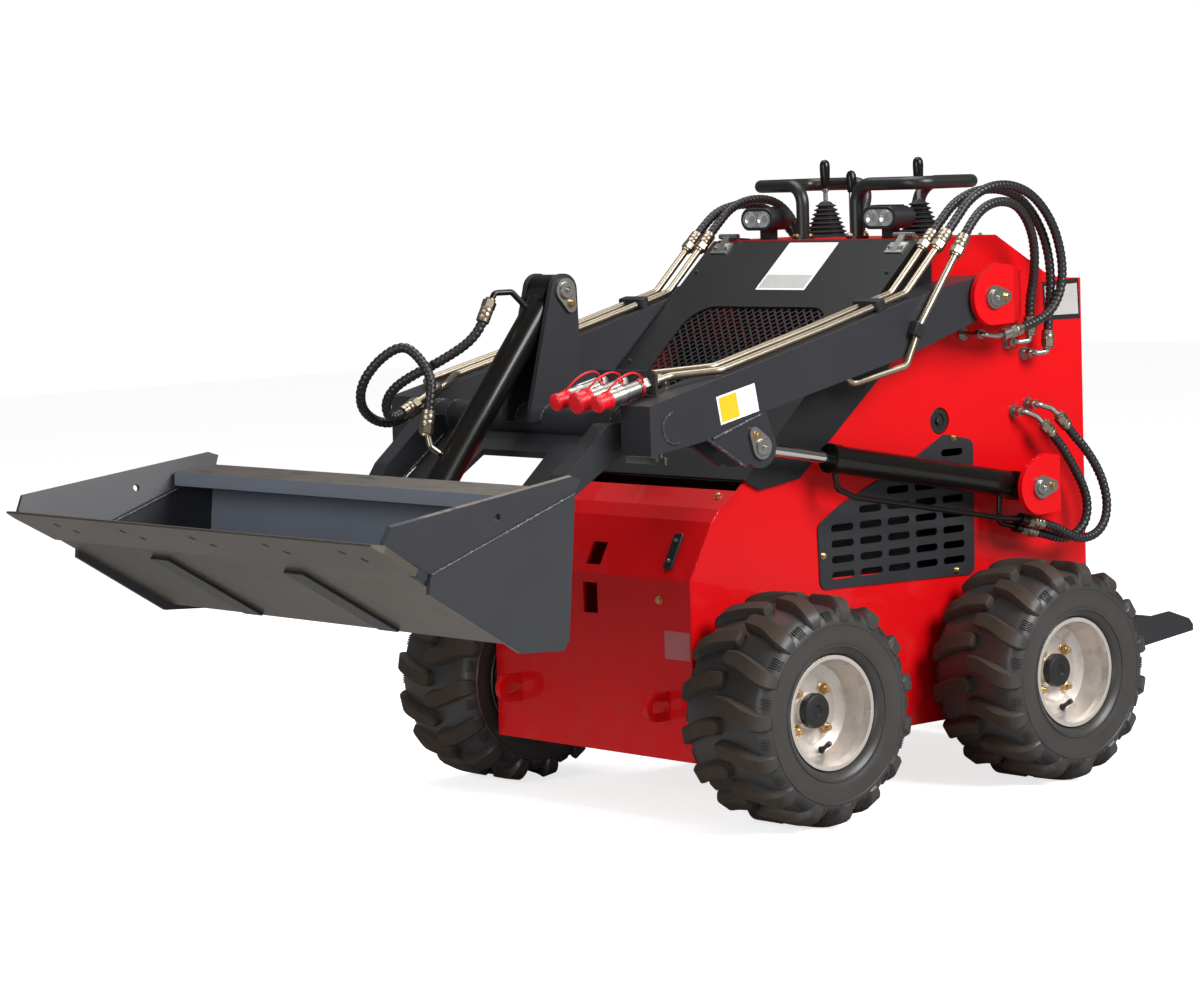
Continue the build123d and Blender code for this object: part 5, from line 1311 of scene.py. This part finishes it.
levers = [
    fit(name, joined(*shells), finish, "chassis", slot, "control_levers")
    for name, shells, finish, slot in (
        ("lever_boots", boots, BOOT, "black_plastic"), ("lever_rods", rods, ZINC, "zinc"),
        ("lever_knobs", knobs, barrel_paint("glossy knob"), "black_plastic"),
    )
]
print("levers:", sum(len(p.data.polygons) for p in levers), "faces")

# %% [markdown]
# ## Quick couplers
# Three auxiliary couplers stick out at the front of the left arm, each a stepped body with a
# knurled sleeve and a hexagon, closed by a red dust cap that hangs on a thin red ring and strap.
# The strap's loop is a short bar along a spline.

# %% Add knurls, hexagons, red caps and straps
def coupler_finish():
    """Plated couplers on a plate that is painted like the boom."""
    f = Finish("couplers and their plate")
    y = f.split(f.place)[1]
    painted, cloud = y > -0.3985, f.noise(9)
    colour = f.mix(painted, f.mix(cloud, (0.32, 0.30, 0.26), (0.44, 0.41, 0.37)), (0.026, 0.027, 0.032))
    return f.done(Base_Color=colour, Metallic=1.0 - painted, Roughness=0.36 + 0.08 * cloud,
                  Normal=f.bump(f.noise(300), 0.02, 0.4, edge=1.0))


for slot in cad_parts["aux_couplers"].material_slots:
    slot.material = coupler_finish()
coupler_way = Vector((0, -0.974, -0.225))
KNURL = ((27, 14), (27.8, 15.4), (29.2, 15.4), (30, 14))
COLLAR = [(64, 14), (65, 17), (78, 17), (79, 15.5), (86, 15.5), (87, 17), (103, 17), (104, 15)]
# along the coupler, and beyond the cap's own radius
CAP = ((98, -1.5), (99, 1), (106, 1), (107, -1), (124, -1.2), (126, 0.6), (131, 0.6), (134, -2), (135.5, -6))
STRAP = ((12, -416, 884), (19, -428, 897), (22, -452, 906), (20, -482, 896), (14, -503, 878), (8, -508, 868))
knurls, red = [], []
for x, cap_radius in ((205, 17), (265, 21), (325, 17)):
    start = at(x, -398, 877)
    knurls.append(hexagon(start, coupler_way, 30, 1, 15))
    knurls.append(turned(start, coupler_way, [(24, 12), (25, 14.5), (60, 14.5), (61, 12)], 32))
    for n in range(8):
        knurls.append(turned(start, coupler_way, [(along + 4 * n, radius) for along, radius in KNURL], 32))
    knurls.append(turned(start, coupler_way, COLLAR, 32))
    cap_rows = [(along, cap_radius + more) for along, more in CAP] + [(136, 0)]
    red.append(turned(start, coupler_way, cap_rows, 36))
    red.append(turned(start, coupler_way, [(16, 12.6), (16.5, 16), (20.5, 16), (21, 12.6)], 28))
    red.append(rod([(x + dx, y, z) for dx, y, z in STRAP], 2.1, 8))
fit("coupler_sleeves", joined(*knurls), ZINC, "boom", "zinc")
fit("red_caps", joined(*red), RED_CAP, "boom", "red_plastic", "coupler_caps")
nuts = joined(*[hexagon(at(x, -391, 880), (0, 1, 0), 27, 0, 14) for x in (205, 265, 325)])
fit("coupler_nuts", nuts, ZINC, "boom", "zinc")
print("three couplers")

# %% [markdown]
# ## Clamps, plugs and the latch
# Rubber-lined clamps hold the tube pairs where they bend at the back of each arm, and a single one
# holds the third tube. The side panels' port holes are closed by black caps. A bent latch bar
# crosses under the hood's front edge, and a black catch sits on the body's front slope.

# %% Make clamps, plugs, catch and latch
pair_clamp = plate(at(358, 182, 988), (1, 0, 0), (0, 0.97, 0.244), rounded(76, 24, 6), 26, 2)
third_clamp = plate(at(409.5, 268, 944), (1, 0, 0), (0, 0.46, 0.89), rounded(28, 30, 7), 24, 2)
clamps = [pair_clamp, mirrored(pair_clamp), third_clamp]
fit("tube_clamps", joined(*clamps), BLACK, "boom", "black_plastic")
PORT = at(262, 431.5, 749)
plugs = [
    turned(PORT, OUT, [(0, 42), (18, 42), (18, 27.4), (37, 27.4), (39, 25), (39, 16), (36, 14), (36, 0)], 40),
    turned(PORT, OUT, [(34, 9), (41, 9), (42, 7.5), (42, 0)], 6),
]
fit("port_plugs", joined(*plugs, *[mirrored(p) for p in plugs]), BLACK, "chassis", "black_plastic")
CATCH, catch_up, catch_out = at(229, -251.5, 534), Vector((0, 0.48, 0.877)), Vector((0, -0.877, 0.48))
catch = plate(CATCH, OUT, catch_up, rounded(24, 78, 5), 7, 1.5)
fit("front_catch", catch, BLACK, "chassis", "black_plastic")
catch_spots = [(CATCH + (catch_up * climb + catch_out * 7.1) * MM, catch_out) for climb in (-22, 22)]
bolt_heads("catch_screws", catch_spots, 4.0, ZINC, "chassis", "zinc")
latch = joined(box((-21, -155, 694), (100, -145, 708), 2), box((72, -156, 700), (88, -144, 722), 2))
fit("hood_latch", latch, ZINC, "chassis", "zinc")
print("clamps, plugs, catch and latch")

# %% [markdown]
# ## Tread on the platform
# The folding platform is pressed with rows of short raised bars, alternating in direction, which
# the tree places on a grid and turns by the parity of each point's number.

# %% Press the platform's tread
tread = start_tree("anti-slip bars", ("Across", "Int"), ("Along", "Int"), ("Pitch", "Float"),
                   ("Material", "Material"))
given = tread.given
field = tread.add("GeometryNodeMeshGrid", {
    "Size X": (given["Across"] - 1) * given["Pitch"], "Size Y": (given["Along"] - 1) * given["Pitch"],
    "Vertices X": given["Across"], "Vertices Y": given["Along"],
})
number = tread.add("GeometryNodeInputIndex")
parity = (number + (number / given["Along"]).floored()) % 2.0
slant = tread.join(0.0, 0.0, math.pi / 4 + parity * (math.pi / 2))
turned_bar = tread.add("FunctionNodeEulerToRotation", {0: slant})
bar = tread.add("GeometryNodeMeshCylinder", {"Vertices": 10, "Radius": 1.0, "Depth": 1.0})
bar = tread.add("GeometryNodeTransform", {"Geometry": bar, "Scale": (0.0105, 0.0028, 0.0022)})
bars = tread.add("GeometryNodeInstanceOnPoints", {"Points": field, "Instance": bar, "Rotation": turned_bar})
TREAD = end_tree(tread, bars)
tread_bars = new_piece("platform_tread", *SEED)
tread_bars = grown(tread_bars, TREAD, Across=19, Along=13, Pitch=0.0262, Material=GREY)
PLATFORM_MIDDLE, RISE, RUN = at(0, 1083.5, 229.6), 30, 357
incline = Matrix.Rotation(math.atan2(RISE, RUN), 4, "X")
tread_bars.data.transform(Matrix.Translation(PLATFORM_MIDDLE) @ incline)
hand_over(tread_bars, "platform", "grey_paint")
print("tread bars:", len(tread_bars.data.polygons), "faces")

# %% [markdown]
# ## A dark sheet of painted shade inside the body
# A black sheet stands across the back of the engine bay as painted shade, and it is what is seen through the
# slots at the back.
# Without it, light would fall straight through the empty bay.

# %% Put a black sheet of painted shade across the back of the engine bay
fit("bay_shade_sheet", box((-285, 838, 300), (285, 850, 960), 4), BOOT, "chassis", "black_plastic")
print("engine bay lined")

# %% [markdown]
# ## Floor and light
# A plain pale floor and studio light. The machine's left side is lit by a large lamp high beyond
# it, its front by two weaker ones and its top by one more, so the side panels are brighter than
# the front plate. The world gives the soft fill: the camera sees it near white, while the light it
# sheds is dimmer, which a Light Path node tells apart.

# %% Light the scene
def studio_floor():
    """Pale where it is looked at; for light that bounces off it, dimmer, as beyond a small sheet."""
    f = Finish("pale floor")
    direct = f.add("ShaderNodeLightPath", output="Is Camera Ray")
    grain = f.noise(40)
    f.done(Base_Color=f.mix(direct, (0.40, 0.40, 0.40), f.mix(grain, (0.84, 0.84, 0.84), (0.88, 0.88, 0.88))),
           Roughness=0.9, Emission_Color=f.mix(direct, (0.0, 0.0, 0.0), (1.0, 1.0, 1.0)),
           Emission_Strength=0.75)
    return f.material


bpy.context.scene.view_settings.view_transform = "Standard"
FLOOR_HALF, FLOOR_LEVEL = 14.0, -0.0005       # in metres; just below the tyres
floor = new_piece("floor", [
    Vector((x * FLOOR_HALF, y * FLOOR_HALF, FLOOR_LEVEL)) for x, y in ((-1, -1), (1, -1), (1, 1), (-1, 1))
], [(0, 1, 2, 3)])
floor.data.materials.append(studio_floor())
for name, place, aim, size, power in (
    ("key", (4.6, 1.0, 3.6), (0.3, 0.3, 0.6), 2.8, 330),
    ("front", (0.6, -5.5, 2.4), (0, -0.4, 0.7), 2.6, 90),
    ("low", (2.2, -5.0, 0.45), (0, -0.7, 0.55), 1.6, 42),
    ("top", (-0.6, 0.2, 4.6), (0, 0, 0.6), 3.6, 120),
):
    shape = bpy.data.lights.new(name, "AREA")
    shape.shape, shape.size, shape.energy = "DISK", size, power
    lamp = in_scene(name, shape)
    lamp.location = place
    lamp.rotation_euler = (Vector(aim) - Vector(place)).to_track_quat("-Z", "Y").to_euler()
world = bpy.data.worlds.new("studio")
bpy.context.scene.world = world
world.use_nodes = True
world.node_tree.nodes.clear()
sky = Plan(world.node_tree)
seen = sky.add("ShaderNodeLightPath", output="Is Camera Ray")
mirrored_ray = sky.add("ShaderNodeLightPath", output="Is Glossy Ray")
strength = 0.24 + 0.8 * seen - 0.10 * mirrored_ray
glow = sky.add("ShaderNodeBackground", {"Color": (1, 1, 1, 1), "Strength": strength})
sky.add("ShaderNodeOutputWorld", {"Surface": glow}, output=None)
print("four lamps and a pale world")
